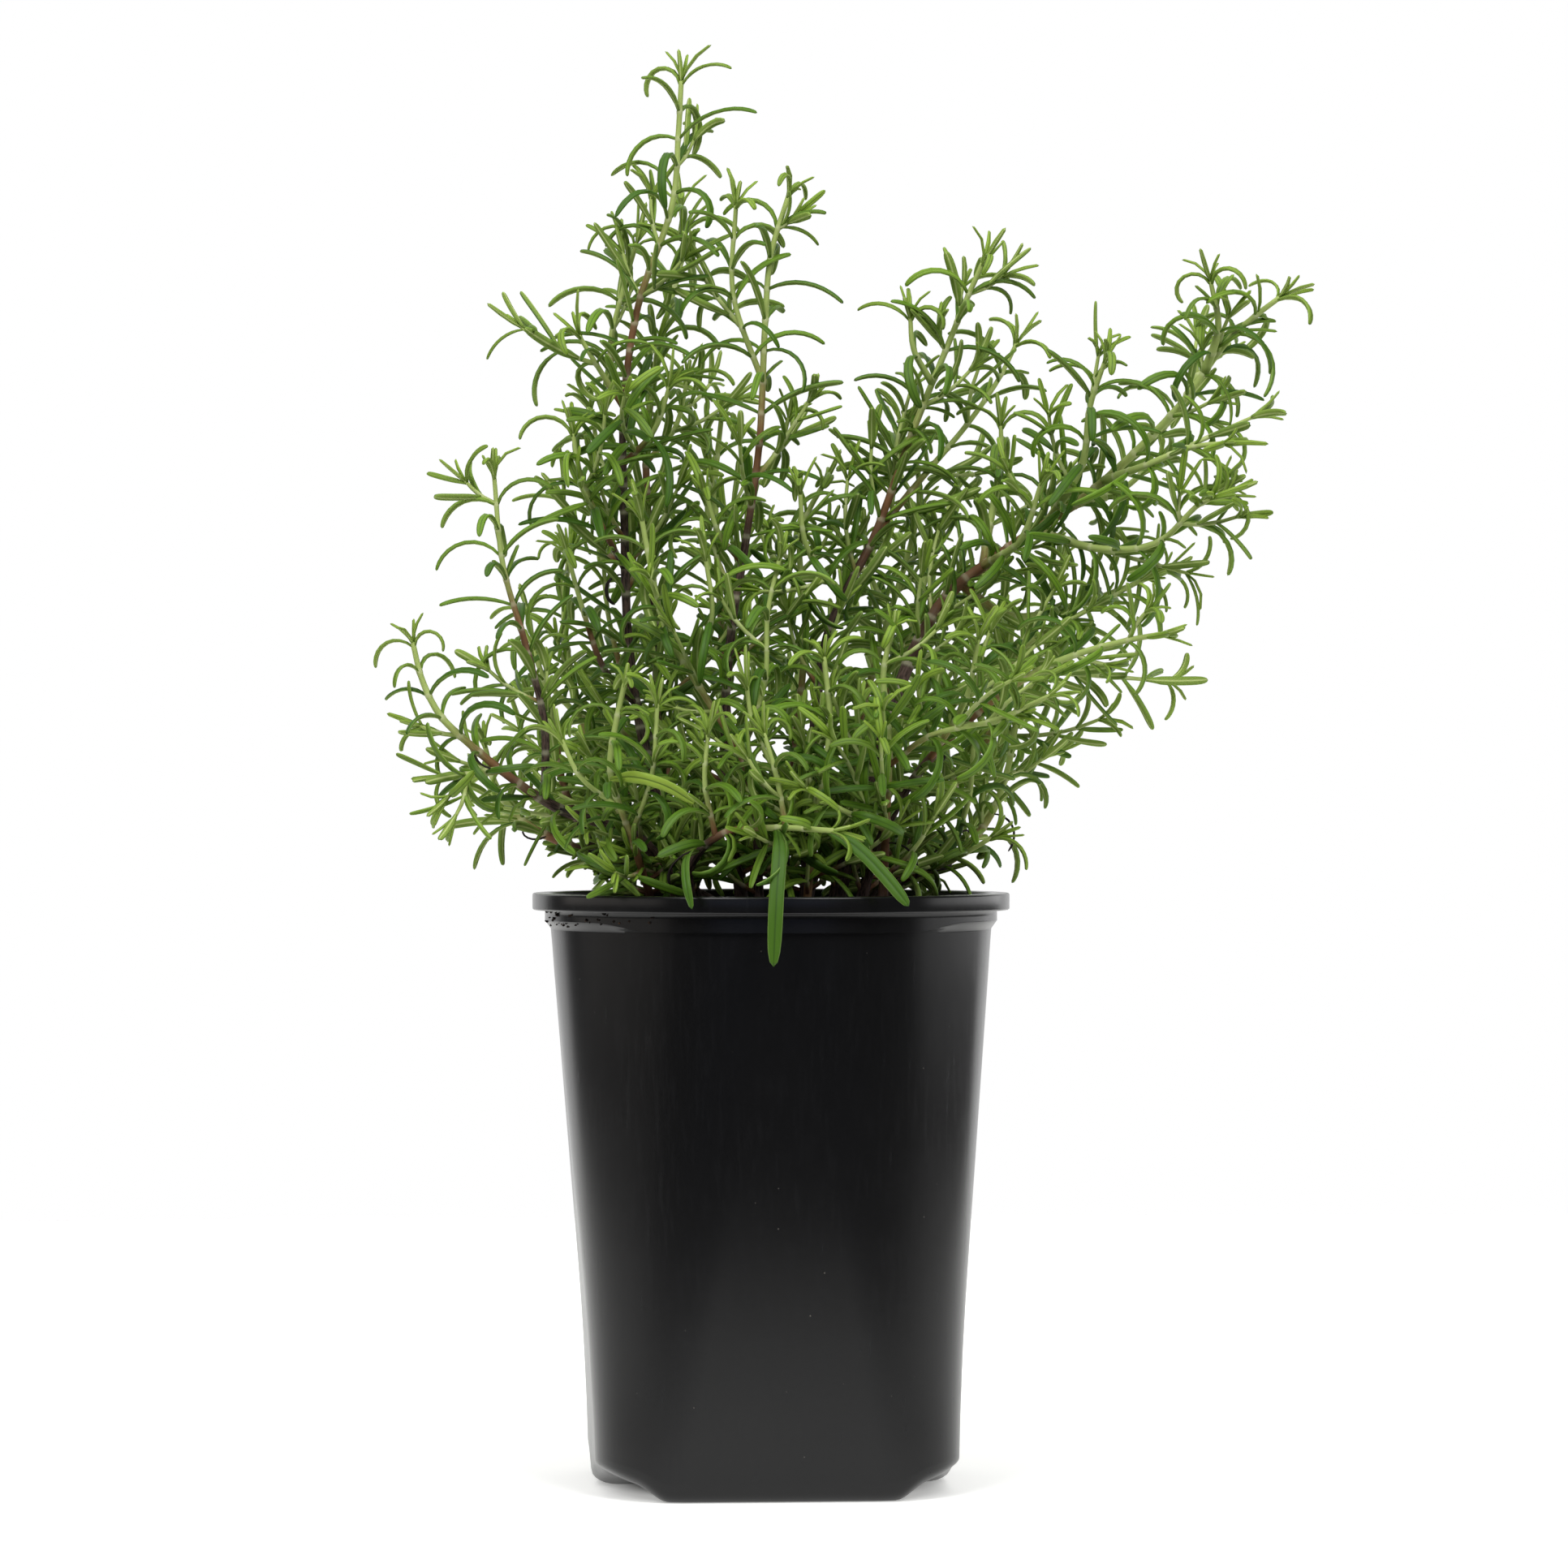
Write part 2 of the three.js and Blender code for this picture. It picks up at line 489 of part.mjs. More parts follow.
// The axes of a stem: itself, its branches, and the small side shoots that the rule puts on them
function axesOf(stem, number) {
  const vectors = (path) => path.map((point) => new THREE.Vector3(...point));
  const main = makeLine(vectors(stem.path));
  const axes = [{
    line: main, from: stem.bare, foot: stem.radius, tip: TIP_RADIUS, seed: number * SEED.stem, order: 0,
  }];
  stem.branches.forEach((path, i) => {
    const points = vectors(path);
    const nearest = main.places.reduce((best, place) => (
      place.distanceTo(points[0]) < best.distanceTo(points[0]) ? place : best));
    points[0] = nearest.clone();
    axes.push({
      line: makeLine(points), from: 0, foot: stem.radius * BRANCH_SHARE, tip: BRANCH_TIP_RADIUS,
      seed: number * SEED.stem + (i + 1) * SEED.branch, order: 1,
    });
  });
  for (const axis of [...axes]) axes.push(...sideShoots(axis, stem));
  return axes;
}

function radiusAt(axis, distance) {
  return mix(axis.foot, axis.tip, (distance / axis.line.total) ** TAPER);
}

// Distances along an axis at which a leaf pair sits, the last at the tip
function pairPlaces(axis, spacing) {
  const run = axis.line.total - axis.from;
  const count = Math.max(2, Math.round(run / spacing));
  return Array.from({ length: count }, (_, i) => axis.from + run * (i + 1) / count - TIP_SETBACK);
}

// The direction of a pair's first leaf: each pair stands crosswise to the one before
function pairAngle(axis, i) {
  return (chance(axis.seed, DRAW.turn) + i % 2) * QUARTER;
}

// Side shoots stand in the leaf axils, longest low on the axis, and bend back towards its direction
function sideShoots(axis, stem) {
  const shoots = [];
  pairPlaces(axis, stem.pairs).forEach((distance, i, all) => {
    const age = 1 - i / all.length;
    for (const side of [0, 1]) {
      if (i === all.length - 1 || chance(axis.seed + i, DRAW.shoot + side) > SIDE_SHOOT_SHARE) continue;
      const { place, ahead } = alongLine(axis.line, distance);
      const out = outward(ahead, pairAngle(axis, i) + side * Math.PI);
      const length = mix(...SIDE_SHOOT, chance(axis.seed + i, DRAW.shootLength + side)) * Math.sqrt(age);
      const lean = SIDE_SHOOT_LEAN
        + SIDE_SHOOT_SPREAD * (chance(axis.seed + i, DRAW.shootLean + side) - 0.5);
      const curve = bentCurve(place, ahead, out, length, lean, SIDE_SHOOT_BEND, SHOOT_STEPS);
      shoots.push({
        line: makeLine(curve), from: 0, foot: SHOOT_RADIUS, tip: SHOOT_TIP_RADIUS,
        seed: axis.seed + SEED.shoot * (i + 1) + SEED.side * side, order: 2, parent: axis,
      });
    }
  });
  return shoots;
}

// The leaves of an axis, in crossed pairs: young ones at the tip are short and upright
function leavesOf(axis, stem) {
  const spacing = axis.order === 2 ? SHOOT_PAIRS : stem.pairs;
  const size = stem.leaf * (axis.order === 2 ? SHOOT_LEAF_SHARE : 1);
  const places = pairPlaces(axis, spacing);
  return places.flatMap((distance, i) => [0, 1].map((side) => {
    const { place, ahead } = alongLine(axis.line, distance);
    const young = Math.max(0, 1 - (axis.line.total - distance) / YOUNG_STRETCH);
    const key = axis.seed + i;
    const turn = LEAF_TURN * (chance(key, DRAW.leafTurn + side) - 0.5);
    const out = outward(ahead, pairAngle(axis, i) + side * Math.PI + turn);
    const spread = mix(...LEAF_SIZES, chance(key, DRAW.leafLength + side));
    const length = size * mix(1, YOUNG_LEAF_SHARE, young) * spread;
    const lean = mix(OLD_LEAN, YOUNG_LEAN, young) + LEAN_SPREAD * (chance(key, DRAW.leafLean + side) - 0.5);
    const nearTip = Math.max(0, 1 - (axis.line.total - distance) / HOOK_STRETCH);
    const hook = (axis.order === 2 ? SHOOT_HOOK : HOOK) * nearTip;
    const curl = mix(...CURL, chance(key, DRAW.leafCurl + side) ** CURL_POWER) + hook;
    const root = place.addScaledVector(out, radiusAt(axis, distance) * Math.SQRT1_2);
    return { axis, distance, facet: (i % 2) + side * 2, root, ahead, out, length, lean, curl,
      fromTip: places.length - 1 - i };
  }));
}

// The bare lower wood of a stem, as a closed tube grown all over by a gap
function woodTube(axis, grow = 0) {
  const end = axis.from - JOINT_GAP / 2;
  const count = Math.round(end / TUBE_STEP);
  const rings = Array.from({ length: count + 1 }, (_, i) => {
    const distance = end * i / count;
    return ringOn(axis, i === 0 ? -grow : distance, WOOD_SIDES, 0, radiusAt(axis, distance) + grow);
  });
  return solidOf(skin(rings));
}

function ringOn(axis, distance, sides, turn, radius) {
  const { place, ahead } = alongLine(axis.line, distance);
  return Array.from({ length: sides }, (_, side) => place.clone()
    .addScaledVector(outward(ahead, side / sides * 2 * Math.PI + turn), radius));
}

// Three points across a leaf, under its rib and at its two edges
function acrossLeaf(place, forward, side, width) {
  const up = forward.clone().cross(side).normalize();
  return [
    place.clone().addScaledVector(up, -NEEDLE_DEPTH * 2 / 3),
    place.clone().addScaledVector(side, width / 2).addScaledVector(up, NEEDLE_DEPTH / 3),
    place.clone().addScaledVector(side, -width / 2).addScaledVector(up, NEEDLE_DEPTH / 3),
  ];
}

function sectionsOf(curve, side, width) {
  return curve.slice(1, -1).map((place, i) => (
    acrossLeaf(place, curve[i + 2].clone().sub(curve[i]).normalize(), side, width)));
}

// A large leaf by itself, sunk into the stem at its root
function loneLeaf({ curve, side, width }) {
  const forward = curve[1].clone().sub(curve[0]).normalize();
  const root = acrossLeaf(curve[0], forward, side, width * LONE_ROOT_SHARE);
  return solidOf(skin([root, ...sectionsOf(curve, side, width)], curve.at(-1)));
}

// A four-sided stem whose leaves grow straight out of its sides, each from a short band at its pair
function leafyAxis(axis, from, leaves) {
  const { total } = axis.line;
  const turn = pairAngle(axis, 0) - Math.PI / 4;
  const bands = [...new Set(leaves.map((leaf) => leaf.distance))].sort((a, b) => a - b);
  const rows = [{ distance: from }];
  const advance = (distance) => {
    const before = rows.at(-1).distance;
    const extra = Math.ceil((distance - before) / TUBE_STEP) - 1;
    for (let i = 1; i <= extra; i += 1) rows.push({ distance: mix(before, distance, i / (extra + 1)) });
  };
  for (const distance of bands) {
    const half = Math.min(NODE_BAND / 2, total - distance - LEAST_BAND);
    advance(distance - half);
    rows.push({ distance: distance - half, band: distance }, { distance: distance + half });
  }
  advance(total);
  const rings = rows.map((row) => ringOn(axis, row.distance, 4, turn, radiusAt(axis, row.distance)));
  const tip = alongLine(axis.line, total).place.addScaledVector(alongLine(axis.line, total).ahead, BUD);
  const points = [...rings.flat(), tip];
  const index = [];
  rows.slice(0, -1).forEach((row, number) => {
    for (let side = 0; side < 4; side += 1) {
      const leaf = leaves.find((one) => one.distance === row.band && one.facet === side);
      if (leaf) growLeaf(points, index, corners(number, side, 4), leaf);
      else index.push(...facet(number, side, 4));
    }
  });
  closeEnds(index, rows.length, 4, tip);
  return solidOf(meshOf(points, index));
}

// A leaf on one side of a stem: from the side's four corners through its sections to its tip
function growLeaf(points, index, [a, b, c, d], { curve, side, width }) {
  const sections = sectionsOf(curve, side, width);
  const first = points.length;
  points.push(...sections.flat(), curve.at(-1));
  const tip = points.length - 1;
  if (sections.length === 0) {
    index.push(a, b, tip, b, c, tip, c, d, tip, d, a, tip);
    return;
  }
  const [rib, right, left] = [first, first + 1, first + 2];
  index.push(a, b, rib, b, c, right, b, right, rib, c, d, left, c, left, right, d, a, rib, d, rib, left);
  for (let row = 0; row + 1 < sections.length; row += 1) {
    for (let edge = 0; edge < 3; edge += 1) {
      index.push(...facet(row, edge, 3).map((corner) => corner + first));
    }
  }
  const last = first + (sections.length - 1) * 3;
  for (let edge = 0; edge < 3; edge += 1) index.push(last + edge, last + (edge + 1) % 3, tip);
}

// The shortest distance between two straight stretches
function apart(a, b) {
  const u = a.to.clone().sub(a.from);
  const v = b.to.clone().sub(b.from);
  const w = a.from.clone().sub(b.from);
  const [uu, uv, vv, uw, vw] = [u.dot(u), u.dot(v), v.dot(v), u.dot(w), v.dot(w)];
  const clamp = (value) => Math.min(1, Math.max(0, value));
  const slant = uu * vv - uv * uv;
  let s = slant > LEVEL ? clamp((uv * vw - vv * uw) / slant) : 0;
  const t = clamp((uv * s + vw) / vv);
  s = clamp((uv * t - uw) / uu);
  return w.addScaledVector(u, s).addScaledVector(v, -t).length();
}

// What is already placed, kept as round-ended stretches in coarse cells
class Occupied {
  cells = new Map();

  keysOf(stretch) {
    const reach = stretch.radius + CLEARANCE + WIDEST;
    const keys = [];
    const low = stretch.from.clone().min(stretch.to).subScalar(reach).divideScalar(CELL).floor();
    const high = stretch.from.clone().max(stretch.to).addScalar(reach).divideScalar(CELL).floor();
    for (let x = low.x; x <= high.x; x += 1) {
      for (let y = low.y; y <= high.y; y += 1) {
        for (let z = low.z; z <= high.z; z += 1) keys.push(x + ',' + y + ',' + z);
      }
    }
    return keys;
  }

  add(stretch) {
    for (const key of this.keysOf(stretch)) {
      if (!this.cells.has(key)) this.cells.set(key, []);
      this.cells.get(key).push(stretch);
    }
  }

  // True where a new stretch would come too near another, other than what its own root grows from
  blocks(stretch, root) {
    return this.keysOf(stretch).some((key) => (this.cells.get(key) ?? []).some((other) => {
      const family = other.stem === stretch.stem
        && (other.axis === stretch.axis || other.from.distanceTo(root) < ROOT_ZONE
          || other.to.distanceTo(root) < ROOT_ZONE);
      return !family && apart(stretch, other) < stretch.radius + other.radius + CLEARANCE;
    }));
  }
}

function stretchesOf(points, radius, stem, axis) {
  return points.slice(1).map((to, i) => ({ from: points[i], to, radius: radius(i), stem, axis }));
}

// Clear of the soil, the mouth and the rim of the pot
function clearOfPot(point) {
  const away = Math.hypot(point.x, point.y);
  if (away < MOUTH_RADIUS - MOUTH_ROOM) return point.z > SOIL_CROWN + SOIL_ROOM;
  return away > RIM_RADIUS + RIM_ROOM || point.z > POT_HEIGHT + RIM_ROOM;
}

// Side shoots and leaves that fit without touching another stem's, the tips first, up to the count
function placeFoliage(plants) {
  const occupied = new Occupied();
  const axisStretches = (axis, stem) => stretchesOf(
    axis.line.places, (i) => radiusAt(axis, axis.line.lengths[i]), stem, axis);
  for (const { stem, axes } of plants) {
    for (const axis of axes.filter((one) => one.order < 2)) {
      axisStretches(axis, stem).forEach((stretch) => occupied.add(stretch));
    }
  }
  for (const { stem, lone } of plants) {
    for (const leaf of lone) {
      stretchesOf(leaf.curve, () => leaf.width / 2, stem, leaf).forEach((one) => occupied.add(one));
    }
  }
  const shoots = plants.flatMap(({ stem, axes }) => axes.filter((axis) => axis.order === 2)
    .map((axis) => ({ stem, axis })));
  shoots.sort((a, b) => chance(a.axis.seed, DRAW.order) - chance(b.axis.seed, DRAW.order));
  let shootsLeft = SHOOTS_IN_ALL;
  for (const { stem, axis } of shoots) {
    const stretches = axisStretches(axis, stem);
    const root = stretches[0].from;
    const fits = shootsLeft > 0 && axis.line.total > SHORTEST_SHOOT && axis.line.places.every(clearOfPot)
      && !stretches.some((stretch) => occupied.blocks({ ...stretch, axis: axis.parent }, root));
    axis.kept = fits;
    if (!fits) continue;
    stretches.forEach((stretch) => occupied.add(stretch));
    shootsLeft -= 1;
  }
  for (const plant of plants) {
    for (const axis of plant.axes.filter((one) => one.order < 2 || one.kept)) {
      axis.leaves = leavesOf(axis, plant.stem)
        .filter((leaf) => leaf.fromTip % PAIR_CYCLE < PAIRS_KEPT)
        .map((leaf) => shapeLeaf(leaf))
        .filter((leaf) => leaf.curve.every(clearOfPot) && takesRoom(leaf, plant.stem, occupied));
    }
  }
}

function shapeLeaf(leaf) {
  const steps = leaf.length < STRAIGHT_LEAF ? 1 : leaf.curl > FULL_CURL ? 3 : 2;
  return {
    ...leaf,
    curve: bentCurve(leaf.root, leaf.ahead, leaf.out, leaf.length, leaf.lean, leaf.curl, steps),
    side: leaf.ahead.clone().cross(leaf.out).normalize(),
    width: NEEDLE_WIDTH,
  };
}

function takesRoom(leaf, stem, occupied) {
  const stretches = stretchesOf(leaf.curve, () => NEEDLE_WIDTH / 2, stem, leaf.axis);
  if (stretches.some((stretch) => occupied.blocks(stretch, leaf.root))) return false;
  stretches.forEach((stretch) => occupied.add({ ...stretch, axis: leaf }));
  return true;
}

function loneLeavesOf(stem) {
  return LONE_LEAVES.filter((leaf) => leaf.stem === stem.name).map((leaf) => {
    const curve = leaf.path.map((point) => new THREE.Vector3(...point));
    const run = curve.at(-1).clone().sub(curve[0]);
    const outside = new THREE.Vector3(curve[0].x, curve[0].y, 0).normalize();
    return { curve, side: run.cross(outside).normalize(), width: leaf.width };
  });
}

const plants = STEMS.map((stem, number) => ({
  stem, axes: axesOf(stem, number + 1), lone: loneLeavesOf(stem),
}));
placeFoliage(plants);

// The leafy upper part of a stem, with its branches, side shoots and leaves
function makeLeafy({ axes, lone }) {
  const grown = axes.filter((axis) => axis.leaves).map((axis) => (
    leafyAxis(axis, axis.order === 0 ? axis.from + JOINT_GAP / 2 : 0, axis.leaves)));
  return [...grown, ...lone.map(loneLeaf)].reduce((whole, part) => whole.add(part));
}

function addMesh(parent, name, solid, material) {
  const mesh = new THREE.Mesh(geometryOf(solid), material);
  mesh.name = name;
  parent.add(mesh);
}

const blackPlastic = new THREE.MeshStandardMaterial({ color: 0x1d1e1f, roughness: 0.38, metalness: 0 });
const darkSoil = new THREE.MeshStandardMaterial({ color: 0x2a2019, roughness: 0.95, metalness: 0 });
const bark = new THREE.MeshStandardMaterial({ color: 0x5b3f2e, roughness: 0.85, metalness: 0 });
const leafGreen = new THREE.MeshStandardMaterial({ color: 0x4a7434, roughness: 0.6, metalness: 0 });

const group = new THREE.Group();
const plant = new THREE.Group();
plant.rotation.z = PLANT_TURN;
group.add(plant);
addMesh(group, 'pot', makePot(), blackPlastic);
addMesh(group, 'potting_mix', makeSoil(), darkSoil);
for (const one of plants) {
  addMesh(plant, 'woody_stem_' + one.stem.name, woodTube(one.axes[0]), bark);
  addMesh(plant, 'leafy_stem_' + one.stem.name, makeLeafy(one), leafGreen);
}

export default group;
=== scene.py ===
"""A rosemary plant in a black nursery pot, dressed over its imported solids.

Lengths are in millimetres until a mesh is written, +Z is up, and the origin is at the centre of the
pot's underside. The stems and leaves repeat the rule of the solids, with every leaf kept.
"""

import functools
import json
import math

import bpy
import numpy as np
from bpy.props import FloatProperty, FloatVectorProperty, PointerProperty
from bpy.types import Operator, Panel, PropertyGroup
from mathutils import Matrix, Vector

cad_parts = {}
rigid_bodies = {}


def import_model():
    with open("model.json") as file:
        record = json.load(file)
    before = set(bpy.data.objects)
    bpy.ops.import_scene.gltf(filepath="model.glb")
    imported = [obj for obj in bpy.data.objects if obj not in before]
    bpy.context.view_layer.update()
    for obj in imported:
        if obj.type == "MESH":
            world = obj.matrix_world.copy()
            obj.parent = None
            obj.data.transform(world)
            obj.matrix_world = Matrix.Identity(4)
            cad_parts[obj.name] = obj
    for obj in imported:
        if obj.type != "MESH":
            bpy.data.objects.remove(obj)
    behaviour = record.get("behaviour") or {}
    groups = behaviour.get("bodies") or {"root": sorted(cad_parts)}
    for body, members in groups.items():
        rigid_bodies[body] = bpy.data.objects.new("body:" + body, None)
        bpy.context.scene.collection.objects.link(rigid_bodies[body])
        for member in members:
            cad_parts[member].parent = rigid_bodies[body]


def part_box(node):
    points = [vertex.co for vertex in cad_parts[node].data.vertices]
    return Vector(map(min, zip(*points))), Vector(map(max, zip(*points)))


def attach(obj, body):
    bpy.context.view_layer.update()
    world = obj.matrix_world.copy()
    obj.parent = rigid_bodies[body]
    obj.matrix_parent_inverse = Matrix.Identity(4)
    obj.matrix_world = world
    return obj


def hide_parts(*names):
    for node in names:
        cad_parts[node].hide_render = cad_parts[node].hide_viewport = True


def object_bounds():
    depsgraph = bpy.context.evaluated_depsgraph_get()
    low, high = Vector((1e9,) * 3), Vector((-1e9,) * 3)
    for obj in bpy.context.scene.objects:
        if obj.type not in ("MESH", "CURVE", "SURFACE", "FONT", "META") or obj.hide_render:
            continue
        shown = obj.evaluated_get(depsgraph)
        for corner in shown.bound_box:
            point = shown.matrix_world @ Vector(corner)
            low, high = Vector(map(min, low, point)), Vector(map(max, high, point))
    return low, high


bl_info = {
    "name": "Potted rosemary plant",
    "version": (1, 0, 0),
    "blender": (4, 5, 0),
    "location": "3D View > Sidebar > Rosemary",
    "description": "Makes a rosemary plant in a nursery pot, with its stage",
    "category": "Object",
}

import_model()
CAD_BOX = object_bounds()
MM = 0.001
QUARTER, FULL_TURN = math.pi / 2, 2 * math.pi

# Pot, measured from the frame
POT_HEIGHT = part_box("pot")[1].z / MM
RIM_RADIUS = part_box("pot")[1].x / MM
RIM_BAND, RIM_EDGE = 5.8, 0.7
COLLAR_RADIUS = 78.2
MOUTH_RADIUS, MOUTH_EDGE, MOUTH_STEP = 76.2, 0.8, 1.1
WALL, FLOOR = 1.8, 2.0
# Height, half the distance between opposite faces, and corner radius
BODY = np.array([(0, 62, 29), (35, 63.1, 35), (63, 64.9, 41), (191.8, 76.2, 76)], float)
BODY_EASE, EASE_STEPS = 14.0, 9
# The shoulder's full height is at its sides, and its least share is at the front and back. It changes
# between these cosines of the angle round the pot.
SHOULDER_HEIGHT, SHOULDER_LEAST, SHOULDER_SPAN = 2.8, 0.06, (0.56, 0.82)
# The foot: the sole's half width at the front and back, and at the sides, and its rounded edge there
FOOT_HALF, SIDE_FOOT_HALF = 40.0, 3.0
FOOT_ROUNDING, SIDE_ROUNDING = 5.0, 9.0
# The lifted corners: the lift, the height at which it has faded, the span of the gentle slope, and the
# steep slope as distances and shares, averaged over a few shifts
CORNER_LIFT, LIFT_HEIGHT, SIDE_SLOPE = 8.5, 35.0, 38.0
FRONT_SLOPE = ((0, 8, 20), (0, 0.62, 1))
SLOPE_SHIFTS = (-1.5, -0.5, 0.5, 1.5)
# The mesh: sides, rows, the innermost ring as a share, and rows' distances from the edges they meet
POT_SIDES = 256
POT_ROWS = {"sole": 22, "foot": 7, "wall": 60, "shoulder": 5, "edge": 5, "inside": 16, "floor": 16}
INNERMOST = 0.03
EDGE_GAP, WALL_GAPS, INSIDE_GAP = 0.25, (2.0, 0.4), 1.0
SHARP_EDGE = math.radians(50)
# The drain holes: their cutters start a share of a step on, so that no corner meets the pot's edges
DRAIN_RADIUS, DRAIN_CENTRE, DRAIN_SPAN = 5.5, 45.0, (-1.0, 20.4)
DRAIN_SIDES, DRAIN_START = 24, 0.3

# Potting mix: heights, lumps by their pitch and start, and grit, the mesh with its first and last top
# ring and their count, and its fit to the pot, which is some times wider at the lifted corners
SOIL_EDGE, SOIL_CROWN, SOIL_RELIEF = 190.0, 193.0, 1.1
LUMPS_RIGHT, LUMPS_BACK = (0.19, 1.0), (0.23, -0.5)
GRIT_WAVES, GRIT_TURN, GRIT_PITCH, GRIT_FADE, GRIT_HEIGHT = 6, 2.4, 0.35, 0.45, 0.55
SOIL_SIDES, SOIL_WALL_ROWS = 200, 12
SOIL_SOLE = (0.04, 0.4, 0.7, 0.85, 1.0)
SOIL_TOP = (0.99, 0.02, 60)
FIT, SOLE_FIT = 0.35, 1.5
# Crumbs: how much each corner and axis of one varies, those loose on the soil, and those stuck below
# the rim band over a span of angles
CRUMB_RINGS, CRUMB_SIDES = 3, 6
CRUMB_SWELL, CRUMB_STRETCH, CRUMB_FLATNESS = (0.68, 1.25), (0.55, 1.3), (1, 1, 0.75)
LOOSE = {"count": 420, "margin": 4.0, "size": (0.7, 2.4), "shrink": (0.6, 1.0), "lift": 0.3}
STUCK = {
    "count": 46, "start": math.radians(186), "span": math.radians(50), "crowding": 1.4,
    "below": (0.3, 5.4), "size": (0.25, 0.75), "step": 0.6, "sunk": 1.2,
}
PLACE_SEED, CRUMB_SEED = 11, 12

# The stems are measured facing the pot from the front left, and turned to the pot's own faces
PLANT_TURN = math.radians(-4)

# Stems, branches and shoots, by their order
STEM, BRANCH, SHOOT = 0, 1, 2
TIP_RADIUS, BRANCH_TIP_RADIUS, SHOOT_TIP_RADIUS = 0.9, 0.75, 0.6
TAPER = 0.8
BRANCH_SHARE, SHOOT_RADIUS = 0.55, 0.85
SIDE_SHOOT, SIDE_SHOOT_SHARE = (14.0, 46.0), 0.17
SIDE_SHOOT_LEAN, SIDE_SHOOT_SPREAD = 0.95, 0.4
LOW_SHOOT, LOW_SHOOT_SHARE, LOW_SHOOT_LEAN = (14.0, 38.0), 0.55, (0.75, 1.45)
LOW_SHOOT_START, LOW_SHOOT_STEP = 11.0, 6.0
SHOOT_BEND, SHOOT_STEPS = -0.5, 3
SHOOT_PAIRS = 8.0
TIP_SETBACK = 0.8
SAMPLES = 6
BUD, STEM_SUNK = 1.5, 0.5
# The length over which a stem turns from a green tip to brown wood, the stems that turn earlier or
# later, and the ages of what grows on a stem
OLD_LENGTH = 140.0
EARLY_WOOD = {"l": 0.6, "k": 0.5, "n": 0.6, "q": 0.4, "p": 0.75, "u": 0.8, "j": 0.85, "h": 1.5}
BRANCH_AGE, SIDE_SHOOT_AGE, LOW_SHOOT_AGE = 0.8, 0.6, 0.75
# Room kept to the pot and soil and to the mouth's edge, and how far past the solids' box leaves may
# reach, as a share of it
POT_ROOM, MOUTH_ROOM, BOX_SHARE = 0.8, 2.0, 0.02
# The mesh of a stem, a branch and a shoot: its sides, its steps, the least step, and rings near joints
STEM_SIDES, RING_STEPS, RING_LEAST = (10, 8, 6), (3.0, 3.0, 5.0), 0.25
JOINT_RINGS = ((-1.1, -0.35, 0.45, 1.2), (-1.1, -0.35, 0.45, 1.2), (-0.5, 0.5))
# Joints swell less on wood, and wood has ridges: a count round it, a pitch, a weight and a start
JOINT_LENGTH, JOINT_SWELL, WOOD_LOSS = 0.8, 0.2, 0.6
WOOD_AGES = (0.55, 0.9)
RIDGE_HEIGHT, RIDGES = 0.11, ((3, 0.05, 0.6, 1), (4, -0.21, 0.5, 0))
FLARE, FLARE_HEIGHT = 0.3, 6.0
GRAIN_STRETCH = 6.0

# Leaves: how they change towards the tip of a stem, and how they thin with their outline
LEAF_DEPTH = 0.42
YOUNG_STRETCH, YOUNG_LENGTH, YOUNG_LEAN, YOUNG_WIDTH, YOUNG_LOOK = 18.0, 0.7, 0.35, 0.86, 0.55
HOOK, SHOOT_HOOK, HOOK_STRETCH = 1.8, 0.2, 110.0
SHOOT_LEAF_SHARE = 0.82
LEAF_FOOT, LEAF_FOOT_LENGTH, LEAF_TIP_POWER = 0.45, 0.32, 11
CURL_LEAST = 1e-3
# Kinds of leaf: ranges of the length, curl and width, the lean with its spread, spreads of the turn,
# sweep and twist, how far apart twins stand, how far out a leaf roots, and how young it looks. The
# curl's draw is raised to a power.
GROWN = {
    "draw": "leaf", "turn": 0.5, "apart": 0.0, "length": (0.78, 1.18), "lean": 0.85, "leans": 0.7,
    "root": 0.6, "curl": (-0.4, 1.8), "power": 1.3, "sweep": 0.24, "twist": 1.2,
    "width": (0.82, 1.18), "youth": 0.0,
}
SMALL = {"draw": "tuft", "curl": (0.0, 1.6), "power": 2.0, "sweep": 0.2, "twist": 0.8}
AXIL = {
    **SMALL, "turn": 1.1, "apart": 0.9, "length": (0.34, 0.66), "lean": 0.7, "leans": 0.5, "root": 0.7,
    "width": (0.72, 0.72), "youth": 0.35,
}
CROWN = {
    **SMALL, "turn": 0.3, "apart": 0.0, "length": (0.3, 0.55), "lean": 0.255, "leans": 0.35, "root": 0.3,
    "width": (0.62, 0.62), "youth": 0.7,
}
TUFT_SHARE, AXIL_OFFSET, CROWN_SETBACK = 0.06, 1.4, 0.4
# A leaf is dropped where its middle line leaves the free room at one of these shares of its length
CHECKED_AT = np.array([0.3, 0.6, 0.85, 1.0])

# What each draw of chance decides, and how the seeds of stems, branches and shoots are told apart
DRAW = {
    "turn": 3, "leaf_length": 5, "leaf_lean": 7, "curl": 9, "shoot": 11, "shoot_length": 13,
    "shoot_lean": 15, "leaf_turn": 17, "shade": 41, "sweep": 43, "twist": 47, "width": 53, "tuft": 59,
    "tuft_lean": 61, "tuft_turn": 67, "tuft_length": 71, "low": 73, "low_turn": 79, "low_length": 83,
    "low_lean": 89,
}
SEED = {"stem": 1000, "branch": 100, "shoot": 31, "side": 17, "low": 500, "low_step": 7, "twin": 0.37}
HASH = (12.9898, 78.233, 43758.5453)

